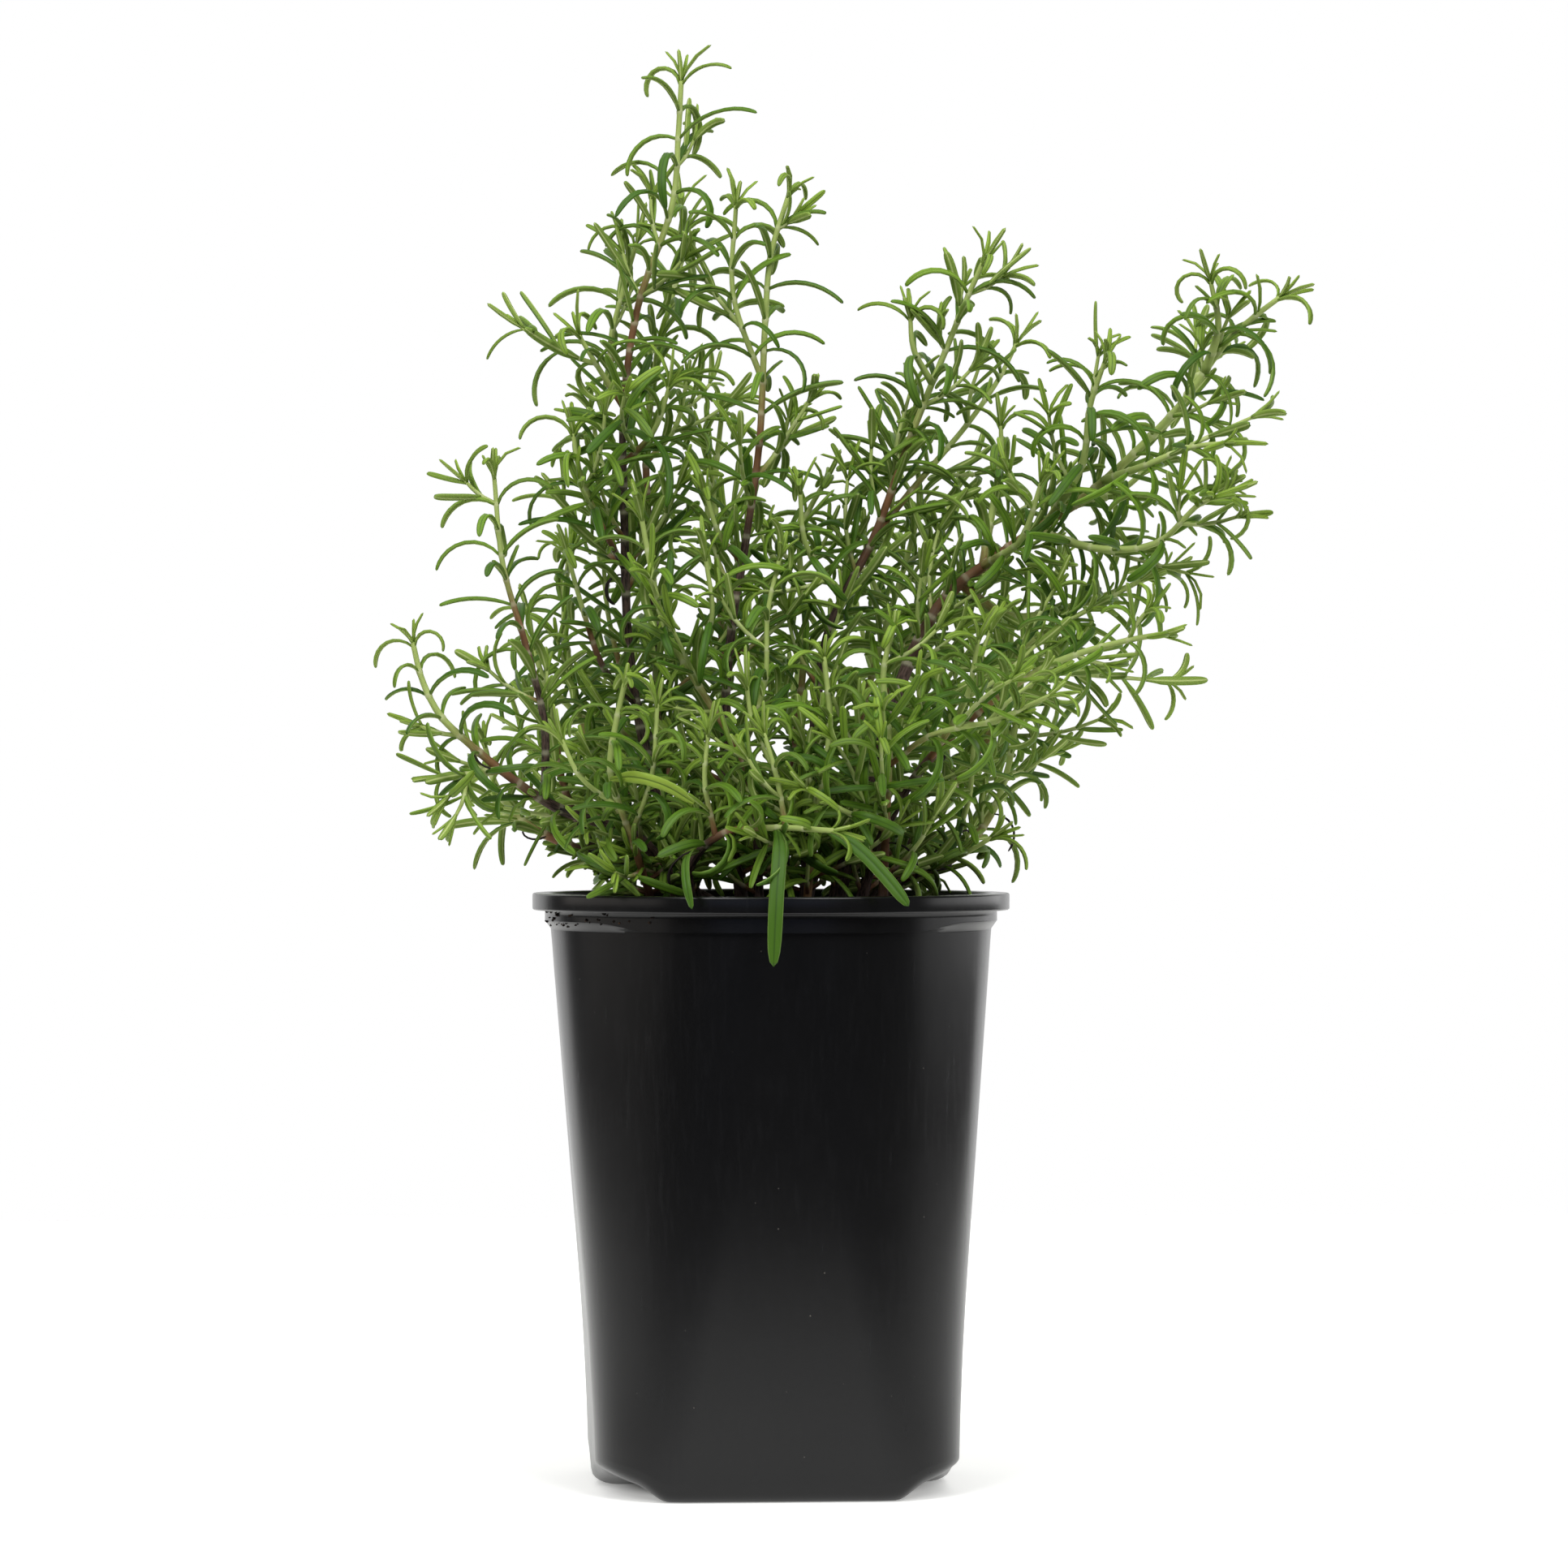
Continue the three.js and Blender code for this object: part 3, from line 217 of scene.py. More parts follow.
# Each stem: the length of bare wood, the radius at the foot, the length of its middle leaves, the
# spacing of its leaf pairs, its path from the soil to its tip (right, back, up), and its branches
STEMS = {
    "a": (
        50, 2.2, 31, 9.5,
        [(-24, 4, 178), (-25, 4, 198), (-40, 7, 240), (-49, 10, 284), (-51, 8, 332), (-51, 4, 372),
         (-46, 0, 407), (-34, -4, 442), (-32, -4, 466), (-31, -4, 484)],
        [(-49, 4, 374), (-60, -4, 386), (-66, -6, 396)],
        [(-51, 4, 374), (-56, 10, 392), (-52, 14, 412), (-47, 16, 430)],
        [(-51, 6, 352), (-40, -8, 364), (-35, -13, 378)],
        [(-50, 9, 318), (-60, -6, 334), (-66, -12, 350), (-68, -12, 362)],
        [(-46, 9, 266), (-58, 0, 282), (-65, -4, 302), (-70, -6, 320)],
    ),
    "b": (
        48, 2, 28, 9.5,
        [(-28, 24, 178), (-29, 25, 198), (-38, 30, 250), (-42, 35, 318), (-44, 40, 362), (-38, 44, 402),
         (-31, 46, 432), (-32, 46, 446)],
        [(-42, 36, 330), (-58, 44, 350), (-64, 48, 374)],
        [(-43, 39, 352), (-34, 49, 368), (-30, 53, 384)],
        [(-38, 30, 250), (-50, 30, 274), (-57, 28, 300), (-59, 28, 322)],
    ),
    "c": (
        44, 2, 27, 10.5,
        [(-10, -8, 178), (-10, -8, 198), (-16, -6, 246), (-14, -5, 292), (-9, -5, 323), (-4, -8, 359),
         (-2, -10, 400), (0, -10, 424), (6, -10, 444)],
        [(-3, -9, 380), (-13, -14, 410), (-12, -16, 440)],
        [(-5, -7, 348), (3, -2, 358), (6, 0, 368)],
        [(-10, -5, 318), (-18, -14, 328), (-22, -18, 340)],
    ),
    "d": (
        46, 1.8, 26, 10,
        [(4, 20, 178), (4, 20, 198), (8, 24, 250), (12, 25, 296), (10, 26, 326), (13, 27, 337),
         (18, 27, 346)],
        [(12, 25, 306), (-2, 34, 326), (-6, 38, 342)],
    ),
    "e": (
        46, 2.4, 29, 10.5,
        [(12, 2, 178), (12, 2, 198), (14, 4, 246), (20, 5, 294), (36, 5, 328), (50, 1, 366), (61, -2, 393),
         (68, -5, 410), (73, -6, 421)],
        [(37, 5, 330), (54, 16, 350), (69, 24, 368), (80, 28, 384), (86, 30, 396)],
        [(24, 5, 304), (12, -12, 324), (10, -16, 342)],
        [(56, 0, 382), (49, -8, 392), (48, -10, 402)],
    ),
    "h": (
        74, 3.2, 28, 9,
        [(22, -12, 178), (22, -12, 198), (36, -6, 250), (58, 0, 303), (82, 0, 323), (110, -4, 342),
         (140, -12, 371), (157, -18, 394), (166, -21, 402), (174, -22, 408)],
        [(98, -2, 334), (107, -18, 352), (109, -25, 370), (114, -30, 386)],
        [(132, -10, 362), (142, 4, 372), (147, 10, 382), (155, 16, 390)],
        [(148, -14, 382), (153, -25, 398), (150, -30, 413)],
        [(114, -5, 346), (127, -28, 350), (143, -38, 356), (153, -44, 357)],
        [(92, -1, 330), (114, -22, 322), (132, -32, 324), (146, -40, 337), (154, -42, 340)],
        [(72, 0, 315), (86, -26, 326), (92, -34, 344)],
        [(72, 0, 315), (76, 8, 332), (80, 12, 352), (80, 12, 366)],
        [(104, -3, 338), (122, 18, 344), (136, 26, 356)],
        [(66, 0, 310), (84, 14, 300), (112, 18, 306), (138, 14, 316)],
    ),
    "j": (
        52, 2.2, 26, 10,
        [(30, -22, 178), (30, -22, 198), (44, -26, 236), (66, -28, 262), (89, -34, 279), (102, -40, 285),
         (120, -50, 290), (131, -54, 292)],
        [(74, -30, 268), (86, -14, 288), (110, -10, 302), (128, -12, 312)],
        [(56, -27, 250), (66, -44, 270), (70, -52, 290)],
        [(92, -35, 281), (100, -22, 280), (104, -14, 287)],
    ),
    "u": (
        42, 1.9, 27, 11,
        [(38, -36, 178), (38, -36, 198), (39, -42, 226), (40, -47, 258), (38, -52, 279), (41, -54, 293)],
        [(40, -45, 246), (54, -60, 258), (75, -70, 263), (93, -77, 271)],
        [(39, -42, 226), (22, -66, 234), (12, -76, 240)],
    ),
    "l": (
        74, 2.8, 26, 8.5,
        [(-30, -12, 178), (-30, -12, 198), (-44, -20, 222), (-72, -32, 233), (-86, -38, 242),
         (-103, -44, 256), (-112, -46, 265), (-118, -46, 277), (-121, -46, 289)],
        [(-76, -33, 236), (-77, -36, 262), (-83, -38, 288), (-91, -38, 316), (-94, -37, 346)],
        [(-92, -40, 247), (-102, -50, 244), (-108, -54, 238)],
    ),
    "k": (
        60, 3, 24, 9.5,
        [(-16, 14, 178), (-17, 14, 196), (-34, 18, 207), (-66, 26, 218), (-88, 34, 229), (-97, 38, 241),
         (-101, 40, 255)],
        [(-60, 25, 216), (-72, 14, 240), (-76, 10, 266), (-82, 8, 288)],
        [(-84, 32, 227), (-96, 52, 232), (-102, 60, 244)],
    ),
    "n": (
        44, 2.4, 25, 9.5,
        [(34, 8, 178), (34, 8, 196), (45, 10, 208), (64, 16, 216), (77, 24, 231), (83, 28, 247),
         (86, 32, 262)],
        [(45, 10, 208), (62, -2, 215), (76, -8, 223)],
        [(58, 14, 213), (68, 2, 234), (70, -4, 256)],
    ),
    "q": (
        46, 1.9, 27, 10,
        [(-26, -38, 178), (-26, -38, 196), (-27, -54, 214), (-16, -66, 225), (2, -72, 227), (21, -76, 226)],
        [(-17, -65, 224), (-22, -68, 242), (-21, -68, 258)],
        [(6, -73, 227), (2, -74, 244), (-2, -74, 258)],
    ),
    "p": (
        42, 1.6, 25, 9.5,
        [(-40, -26, 178), (-40, -26, 196), (-46, -46, 220), (-54, -56, 246), (-52, -60, 262),
         (-49, -62, 275)],
        [(-47, -48, 224), (-40, -60, 244), (-38, -62, 268)],
        [(-50, -52, 234), (-64, -58, 244), (-70, -60, 256)],
    ),
    "t": (
        42, 1.8, 27, 10,
        [(-4, -28, 178), (-4, -28, 198), (-8, -29, 246), (-24, -28, 274), (-36, -28, 295), (-41, -30, 316),
         (-44, -32, 332)],
        [(-10, -29, 254), (-2, -40, 276), (-1, -42, 300), (3, -42, 318)],
        [(-28, -28, 281), (-20, -40, 298), (-22, -44, 318)],
    ),
    "v": (
        34, 1.6, 26, 10,
        [(12, -38, 178), (12, -38, 198), (16, -46, 232), (20, -50, 262), (18, -52, 284)],
        [(14, -42, 216), (4, -56, 240), (-6, -62, 262), (-8, -63, 274)],
    ),
    "s": (
        44, 1.8, 26, 10,
        [(22, 20, 178), (22, 20, 198), (28, 24, 250), (40, 26, 296), (48, 30, 322), (52, 34, 338)],
        [(34, 25, 274), (52, 38, 292), (66, 44, 316)],
        [(42, 26, 302), (34, 36, 318), (33, 39, 330)],
    ),
    "back_a": (
        52, 2.2, 27, 12.5,
        [(-10, 34, 178), (-10, 34, 198), (-14, 50, 244), (-18, 64, 300), (-20, 70, 350), (-18, 72, 372)],
        [(-15, 54, 258), (-34, 66, 282), (-44, 72, 308)],
        [(-17, 60, 284), (0, 76, 306), (8, 82, 328)],
    ),
    "back_b": (
        52, 2.2, 27, 12.5,
        [(12, 38, 178), (12, 38, 198), (28, 58, 242), (48, 76, 290), (60, 84, 332), (66, 88, 346)],
        [(34, 64, 257), (56, 66, 272), (76, 70, 296)],
        [(42, 71, 276), (34, 92, 292), (30, 100, 312)],
    ),
    "back_c": (
        52, 2.2, 26, 12.5,
        [(-34, 38, 178), (-34, 38, 198), (-54, 54, 232), (-69, 62, 270), (-74, 66, 302), (-72, 70, 326)],
        [(-59, 57, 243), (-54, 76, 262), (-50, 86, 284)],
        [(-67, 61, 266), (-82, 54, 282), (-86, 50, 302)],
    ),
    "back_d": (
        52, 2.2, 26, 12.5,
        [(34, 30, 178), (34, 30, 198), (58, 46, 232), (84, 58, 270), (98, 64, 308), (104, 66, 322)],
        [(66, 50, 244), (80, 40, 254), (92, 38, 270)],
        [(78, 56, 262), (80, 76, 280), (84, 84, 300)],
    ),
    "back_e": (
        46, 2, 26, 12.5,
        [(0, 50, 178), (0, 50, 196), (4, 74, 220), (8, 96, 244), (8, 106, 272), (10, 108, 286)],
        [(5, 80, 227), (26, 92, 240), (38, 98, 258)],
        [(6, 86, 233), (-12, 98, 250), (-18, 104, 270)],
    ),
    "back_f": (
        46, 2, 26, 12.5,
        [(-22, 48, 178), (-22, 48, 196), (-40, 72, 216), (-56, 90, 236), (-62, 98, 258), (-62, 100, 270)],
        [(-44, 76, 221), (-62, 70, 232), (-80, 74, 248)],
    ),
}

# Single large leaves: their stem, width, youth, and path from root to tip
LONE_LEAVES = [
    ("q", 5.0, 0.0, [(2, -71, 227), (3, -82, 220), (2, -88, 204), (1, -89, 181)]),
    ("q", 4.6, 0.0, [(19, -75, 226), (28, -80, 221), (38, -83, 211), (46, -84, 201)]),
    ("q", 3.2, 0.0, [(-24, -60, 219), (-28, -76, 217), (-28, -85, 209), (-26, -86, 200)]),
    ("p", 4.2, 1.0, [(-54, -56, 243), (-46, -63, 244), (-35, -66, 241), (-25, -66, 235)]),
]

# Dried leaves: their stem, the distance from its foot, the angle round it, the length and the curl
DRIED_LEAVES = [
    ("n", 52, 5.0, 22, 2.6), ("n", 66, 3.9, 18, 3.0), ("n", 78, 5.8, 20, 2.2), ("j", 60, 4.4, 19, 2.8),
    ("j", 84, 5.4, 16, 3.2), ("u", 44, 5.9, 20, 2.4), ("l", 82, 4.9, 18, 2.9), ("l", 118, 4.2, 17, 3.1),
    ("k", 70, 5.1, 21, 2.5), ("k", 96, 4.0, 16, 3.0), ("q", 50, 4.1, 19, 2.7), ("h", 88, 5.6, 20, 2.8),
    ("c", 62, 4.6, 18, 2.6), ("a", 140, 3.6, 17, 3.2), ("back_e", 58, 1.6, 20, 2.7),
    ("back_f", 60, 2.2, 18, 2.9), ("back_b", 72, 1.2, 19, 2.5), ("back_d", 64, 0.6, 21, 2.8),
]

# A leaf's section in shares of its width, counter-clockwise seen from the tip: right edge, top with
# its sunken middle, left edge, and the underside with its rib. The last column is 1 on the top.
LEAF_SECTION = np.array([
    (0.50, 0.0, 0.5), (0.30, 0.24, 1), (0.0, 0.12, 1), (-0.30, 0.24, 1),
    (-0.50, 0.0, 0.5), (-0.30, -0.16, 0), (0.0, -0.26, 0), (0.30, -0.16, 0),
])
LEAF_RINGS = np.array([0.0, 0.12, 0.24, 0.36, 0.48, 0.6, 0.71, 0.81, 0.89, 0.945, 0.98])
TUFT_SECTION = LEAF_SECTION[[0, 1, 3, 4, 6]]
TUFT_RINGS = np.array([0.0, 0.25, 0.6, 0.93])
LONE_SECTION = np.array([
    (0.50, 0.0, 0.5), (0.40, 0.10, 1), (0.22, 0.17, 1), (0.07, 0.13, 1), (0.0, 0.06, 1),
    (-0.07, 0.13, 1), (-0.22, 0.17, 1), (-0.40, 0.10, 1), (-0.50, 0.0, 0.5),
    (-0.40, -0.10, 0), (-0.14, -0.05, 0), (0.0, -0.2, 0), (0.14, -0.05, 0), (0.40, -0.10, 0),
])
LONE_RINGS = np.linspace(0, 0.97, 16)
LONE_THICKNESS, LONE_SHADE = 0.62, 0.3
TIP_TOP = 0.6
DRIED = {"width": 1.3, "lean": 1.2, "sweep": 0.3, "sweep_waves": 3, "twist": 2.0, "twist_waves": 5}

COLOURS = {
    "plastic": "#0C0C0D", "plastic_worn": "#141416", "dust": "#6E6A63",
    "leaf": "#426716", "leaf_light": "#6B8F25", "leaf_dusty": "#607A3A", "leaf_young": "#92AC3F",
    # leaf_groove_shade is painted shade for the sunken line; leaf_edge_highlight is the rolled edges' paler
    # colour with a painted highlight
    "leaf_groove_shade": "#2C4A11", "leaf_edge_highlight": "#94B458", "underside": "#8BA24F", "rib": "#BCCB80",
    "stem_young": "#A6B867", "stem_middle": "#7C5639", "wood": "#54413A", "wood_dark": "#2A201B",
    "joint": "#D3D2B0", "dead_leaf": "#231B14",
    "soil": "#1F1712", "soil_light": "#4A382A", "floor": "#F4F4F2",
}
# Sizes of the materials' patterns: mottling on leaves, their felt, pebbles along a leaf, fissures round
# a stem, clouds, rubs and dust on the plastic, crumbs and fibres in the soil, folds in a dried leaf
PATTERNS = {
    "mottle": 16.7, "felt": 0.42, "pebble": 0.7, "fissure": 0.59, "cloud": 45.0, "rub": 1.5, "dust": 5.9,
    "crumb": 2.4, "fibre": 3.8, "fold": 1.1,
}
PEBBLES_ACROSS, PEBBLE_SEED, PEBBLE_HEIGHT = 2.5, 90.0, 0.1
RUB_STRETCH = 10

# Settings and sockets that shader nodes share: a smooth ramp's, a colour mix's, and a product's
SMOOTH = {"interpolation_type": "SMOOTHSTEP"}
COLOUR = {"data_type": "RGBA"}
PRODUCT = {"operation": "MULTIPLY"}
VALUE, START, END, LOW, HIGH = range(5)
RAMP = (VALUE, START, END, HIGH)
SHARE, UNDER, OVER, MIXED = 0, 6, 7, 2

# Stage: the floor is a wide oval of the fourth power about its centre, and fades out where the sum of
# powers has these values. Its own light starts between two distances from the pot's axis.
FLOOR_CENTRE, FLOOR_HALF, FLOOR_FADE = 465.0, (950.0, 785.0), (0.9, 1.1)
FLOOR_SIDES, FLOOR_RINGS = 96, 12
FLOOR_GLOW, GLOW_RING = 0.42, (42.0, 60.0)
ROOM_STRENGTH = 0.05
IMAGE_PIXELS, FOCAL_PIXELS = 1932, 7334
SENSOR, FAR_CLIP = 36.0, 20.0
CAMERA_PLACE = (4.5, -2060.0, 241.6)
# Each light: its place in the measured view, its aim's height on the pot's axis, its size, its power
# in watts and its colour
LIGHTS = [
    ("light_above", (0, -200, 1450), 250, (1400, 1400), 11.0, "#FFFFFF"),
    ("light_front_left", (-900, -1500, 1500), 250, (900, 900), 21.0, "#FFFFFF"),
    ("light_front_right", (900, -1500, 1500), 250, (900, 900), 21.0, "#FFFFFF"),
    ("light_behind", (-50, 1300, 700), 300, (2700, 1800), 16.0, "#FFFFFF"),
    ("light_left", (-1300, -150, 290), 200, (1600, 260), 1.2, "#FFF8F0"),
    ("light_right", (1200, 450, 290), 200, (1500, 260), 2.5, "#FFFFFF"),
    ("light_ahead", (0, -2600, 420), 200, (3000, 500), 1.8, "#B8CCFF"),
]


def linear(colour):
    """An sRGB hex colour as linear red, green, blue and alpha: near black a twelfth, and above that a
    power of 2.4."""
    shares = [int(colour[i:i + 2], 16) / 255 for i in (1, 3, 5)]
    return (*[c / 12.92 if c <= 0.04045 else ((c + 0.055) / 1.055) ** 2.4 for c in shares], 1.0)


LINEAR = {name: linear(colour) for name, colour in COLOURS.items()}


def mix(low, high, share):
    """The value at a share of the way from low to high."""
    return low + (high - low) * share


def smooth(value, start=0.0, end=1.0):
    """A ramp from 0 at the start to 1 at the end, level at both: three squares less two cubes."""
    share = np.clip((value - start) / (end - start), 0, 1)
    return share * share * (3 - 2 * share)


def unit(vectors):
    """Vectors divided by their lengths."""
    return vectors / np.linalg.norm(vectors, axis=-1, keepdims=True)


def chance(index, kind):
    """A repeatable number from 0 to 1 for a pair of whole numbers: the fraction of a large sine."""
    wave = np.sin(np.asarray(index) * HASH[0] + kind * HASH[1]) * HASH[2]
    return wave - np.floor(wave)


def round_angles(sides, start=0.0):
    """Angles in even steps round a circle, from a share of a step on."""
    return (np.arange(sides) + start) / sides * FULL_TURN


def polar(reach, angle, height):
    """Points by their distance from an upright axis, their angle round it and their height."""
    return np.stack(np.broadcast_arrays(reach * np.cos(angle), reach * np.sin(angle), height), -1)


def turn_plant(points):
    """Points turned about the pot's axis from the measured view to the pot's own faces."""
    c, s = math.cos(PLANT_TURN), math.sin(PLANT_TURN)
    return np.asarray(points, float) @ np.array([(c, s, 0), (-s, c, 0), (0, 0, 1)])


# Meshes


def put_mesh(name, points, quads, triangles, fields=None):
    """Writes points in millimetres, four- and three-cornered faces and point attributes as a mesh."""
    corners = np.concatenate([quads.ravel(), triangles.ravel()]).astype(np.int32)
    sizes = np.repeat([4, 3], [len(quads), len(triangles)])
    starts = np.cumsum(sizes) - sizes
    mesh = bpy.data.meshes.new(name)
    mesh.vertices.add(len(points))
    mesh.vertices.foreach_set("co", (points * MM).astype(np.float32).ravel())
    mesh.loops.add(len(corners))
    mesh.loops.foreach_set("vertex_index", corners)
    mesh.polygons.add(len(starts))
    mesh.polygons.foreach_set("loop_start", starts.astype(np.int32))
    mesh.update(calc_edges=True)
    mesh.shade_smooth()
    for key, values in (fields or {}).items():
        kind, slot = ("FLOAT", "value") if np.ndim(values) == 1 else ("FLOAT_VECTOR", "vector")
        attribute = mesh.attributes.new(key, kind, "POINT")
        attribute.data.foreach_set(slot, np.asarray(values, np.float32).ravel())
    piece = bpy.data.objects.new(name, mesh)
    bpy.context.scene.collection.objects.link(piece)
    return piece


def finish_piece(piece, nodes, material):
    """Gives a piece its material, and puts it in the place of its solids, if it has any."""
    piece.data.materials.append(material)
    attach(piece, "root")
    if nodes:
        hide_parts(*nodes)


def ring_faces(rings, sides):
    """Four-cornered faces between rings that run counter-clockwise, each side beside the next one."""
    row, side = np.meshgrid(np.arange(rings - 1), np.arange(sides), indexing="ij")
    here, beside = row * sides + side, row * sides + (side + 1) % sides
    return np.stack([here, beside, beside + sides, here + sides], -1).reshape(-1, 4)


def end_faces(first, sides, point):
    """A fan from a ring to a point beyond it, counter-clockwise seen from the point."""
    side = np.arange(sides)
    return np.stack([first + side, first + (side + 1) % sides, np.full(sides, point)], -1)


def closed_skin(rings, foot, tip):
    """Rings that run counter-clockwise seen from the tip, with a fan to a point at each end."""
    rows, sides, _ = rings.shape
    count = rows * sides
    ends = np.vstack([end_faces(0, sides, count)[:, [1, 0, 2]], end_faces(count - sides, sides, count + 1)])
    return np.vstack([rings.reshape(-1, 3), foot, tip]), ring_faces(rows, sides), ends


def copy_skin(points, quads, triangles):
    """One skin's faces for several sets of its points, renumbered by the points before each set."""
    shifts = np.arange(len(points))[:, None, None] * points.shape[1]
    return points.reshape(-1, 3), (quads + shifts).reshape(-1, 4), (triangles + shifts).reshape(-1, 3)


def join(parts):
    """Several parts' points, faces and fields as one, with the faces renumbered."""
    starts = np.cumsum([0] + [len(part[0]) for part in parts[:-1]])
    points = np.vstack([part[0] for part in parts])
    quads, triangles = [np.vstack([part[k] + start for part, start in zip(parts, starts)]) for k in (1, 2)]
    fields = {key: np.concatenate([part[3][key] for part in parts]) for key in parts[0][3]}
    return points, quads, triangles, fields


# Stems


def make_line(points):
    """A smooth line through a few points: on each stretch a cubic whose slopes come from the two
    neighbouring stretches, weighed by the square roots of their lengths."""
    points = np.asarray(points, float)
    ends = np.vstack([2 * points[0] - points[1], points, 2 * points[-1] - points[-2]])
    steps = np.sqrt(np.linalg.norm(np.diff(ends, axis=0), axis=1))
    places = [points[:1]]
    share = (np.arange(1, SAMPLES + 1) / SAMPLES)[:, None]
    for i in range(len(points) - 1):
        x0, x1, x2, x3 = ends[i:i + 4]
        d0, d1, d2 = steps[i:i + 3]
        out_slope = ((x1 - x0) / d0 - (x2 - x0) / (d0 + d1) + (x2 - x1) / d1) * d1
        in_slope = ((x2 - x1) / d1 - (x3 - x1) / (d1 + d2) + (x3 - x2) / d2) * d1
        square = -3 * x1 + 3 * x2 - 2 * out_slope - in_slope
        cube = 2 * x1 - 2 * x2 + out_slope + in_slope
        places.append(x1 + out_slope * share + square * share ** 2 + cube * share ** 3)
    places = np.vstack(places)
    lengths = np.concatenate([[0], np.cumsum(np.linalg.norm(np.diff(places, axis=0), axis=1))])
    return {"places": places, "lengths": lengths, "total": lengths[-1]}


def along(line, distance):
    """The places and forward directions at distances along a line, straight between its points."""
    distance = np.asarray(distance, float)
    lengths, places = line["lengths"], line["places"]
    i = np.clip(np.searchsorted(lengths, distance), 1, len(lengths) - 1)
    share = ((distance - lengths[i - 1]) / (lengths[i] - lengths[i - 1]))[..., None]
    return mix(places[i - 1], places[i], share), unit(places[i] - places[i - 1])


def outward(ahead, angle):
    """The directions that point out sideways from a stem, at angles round it: a cosine of the level
    direction across it and a sine of the third direction."""
    across = unit(np.cross((0.0, 1.0, 0.0), ahead))
    angle = np.asarray(angle)[..., None]
    return across * np.cos(angle) + np.cross(ahead, across) * np.sin(angle)


def pair_places(axis):
    """Distances along an axis at which its leaf pairs sit: even steps near its spacing, the last of
    them a little short of the tip."""
    run = axis["line"]["total"] - axis["from"]
    count = max(2, int(math.floor(run / axis["spacing"] + 0.5)))
    return axis["from"] + run * np.arange(1, count + 1) / count - TIP_SETBACK


def pair_angle(axis, i):
    """The direction of a pair's first leaf: each pair stands crosswise to the one before."""
    return (chance(axis["seed"], DRAW["turn"]) + i % 2) * QUARTER


def radius_at(axis, distance):
    """The radius at distances along an axis, from its foot's to its tip's by a power of the share."""
    return mix(axis["foot"], axis["tip"], np.clip(distance / axis["line"]["total"], 0, 1) ** TAPER)


def age_at(axis, distance):
    """How woody an axis is, from its age at its foot evenly to 0 at its tip."""
    return axis["age"] * np.clip(1 - distance / axis["line"]["total"], 0, 1)


def new_shoot(parent, distance, angle, length, lean, seed, age, sits_at=None):
    """A shoot at a place on its parent: a few equal steps that leave it at the lean and bend back."""
    place, ahead = along(parent["line"], distance)
    turned = lean + SHOOT_BEND * (np.arange(SHOOT_STEPS) + 0.5) / SHOOT_STEPS
    steps = np.cos(turned)[:, None] * ahead + np.sin(turned)[:, None] * outward(ahead, angle)
    line = make_line(np.vstack([place, place + np.cumsum(steps * length / SHOOT_STEPS, axis=0)]))
    return {
        **parent, "line": line, "from": 0.0, "foot": SHOOT_RADIUS, "tip": SHOOT_TIP_RADIUS, "seed": seed,
        "order": SHOOT, "spacing": SHOOT_PAIRS, "age": age, "sits_at": sits_at, "parent": parent,
    }


def side_shoots(axis):
    """Small shoots in some leaf axils, shorter towards the tip by the root of the share that is left."""
    places = pair_places(axis)
    i = np.arange(len(places) - 1)
    shoots = []
    for side in (0, 1):
        for n in i[chance(axis["seed"] + i, DRAW["shoot"] + side) <= SIDE_SHOOT_SHARE]:
            key = axis["seed"] + n
            left = math.sqrt(1 - n / len(places))
            length = mix(*SIDE_SHOOT, chance(key, DRAW["shoot_length"] + side)) * left
            lean = SIDE_SHOOT_LEAN + SIDE_SHOOT_SPREAD * (chance(key, DRAW["shoot_lean"] + side) - 0.5)
            seed = axis["seed"] + SEED["shoot"] * (n + 1) + SEED["side"] * side
            shoots.append(new_shoot(
                axis, places[n], pair_angle(axis, n) + side * math.pi, length, lean, seed,
                SIDE_SHOOT_AGE * age_at(axis, places[n]), (n, side)))
    return shoots


def low_shoots(axis):
    """Short leafy shoots on the bare foot of a stem in even steps, on either of two opposite sides."""
    line = axis["line"]
    first = float(np.interp(SOIL_CROWN + LOW_SHOOT_START, line["places"][:, 2], line["lengths"]))
    shoots = []
    for n, distance in enumerate(np.arange(first, axis["from"], LOW_SHOOT_STEP)):
        key = axis["seed"] + SEED["low"] + n
        for side in (0, 1):
            if chance(key, DRAW["low"] + side) > LOW_SHOOT_SHARE:
                continue
            angle = (chance(key, DRAW["low_turn"]) + side / 2) * FULL_TURN
            length = mix(*LOW_SHOOT, chance(key, DRAW["low_length"] + side))
            lean = mix(*LOW_SHOOT_LEAN, chance(key, DRAW["low_lean"] + side))
            seed = key * SEED["low_step"] + side
            shoots.append(new_shoot(axis, distance, angle, length, lean, seed, LOW_SHOOT_AGE))
    return shoots


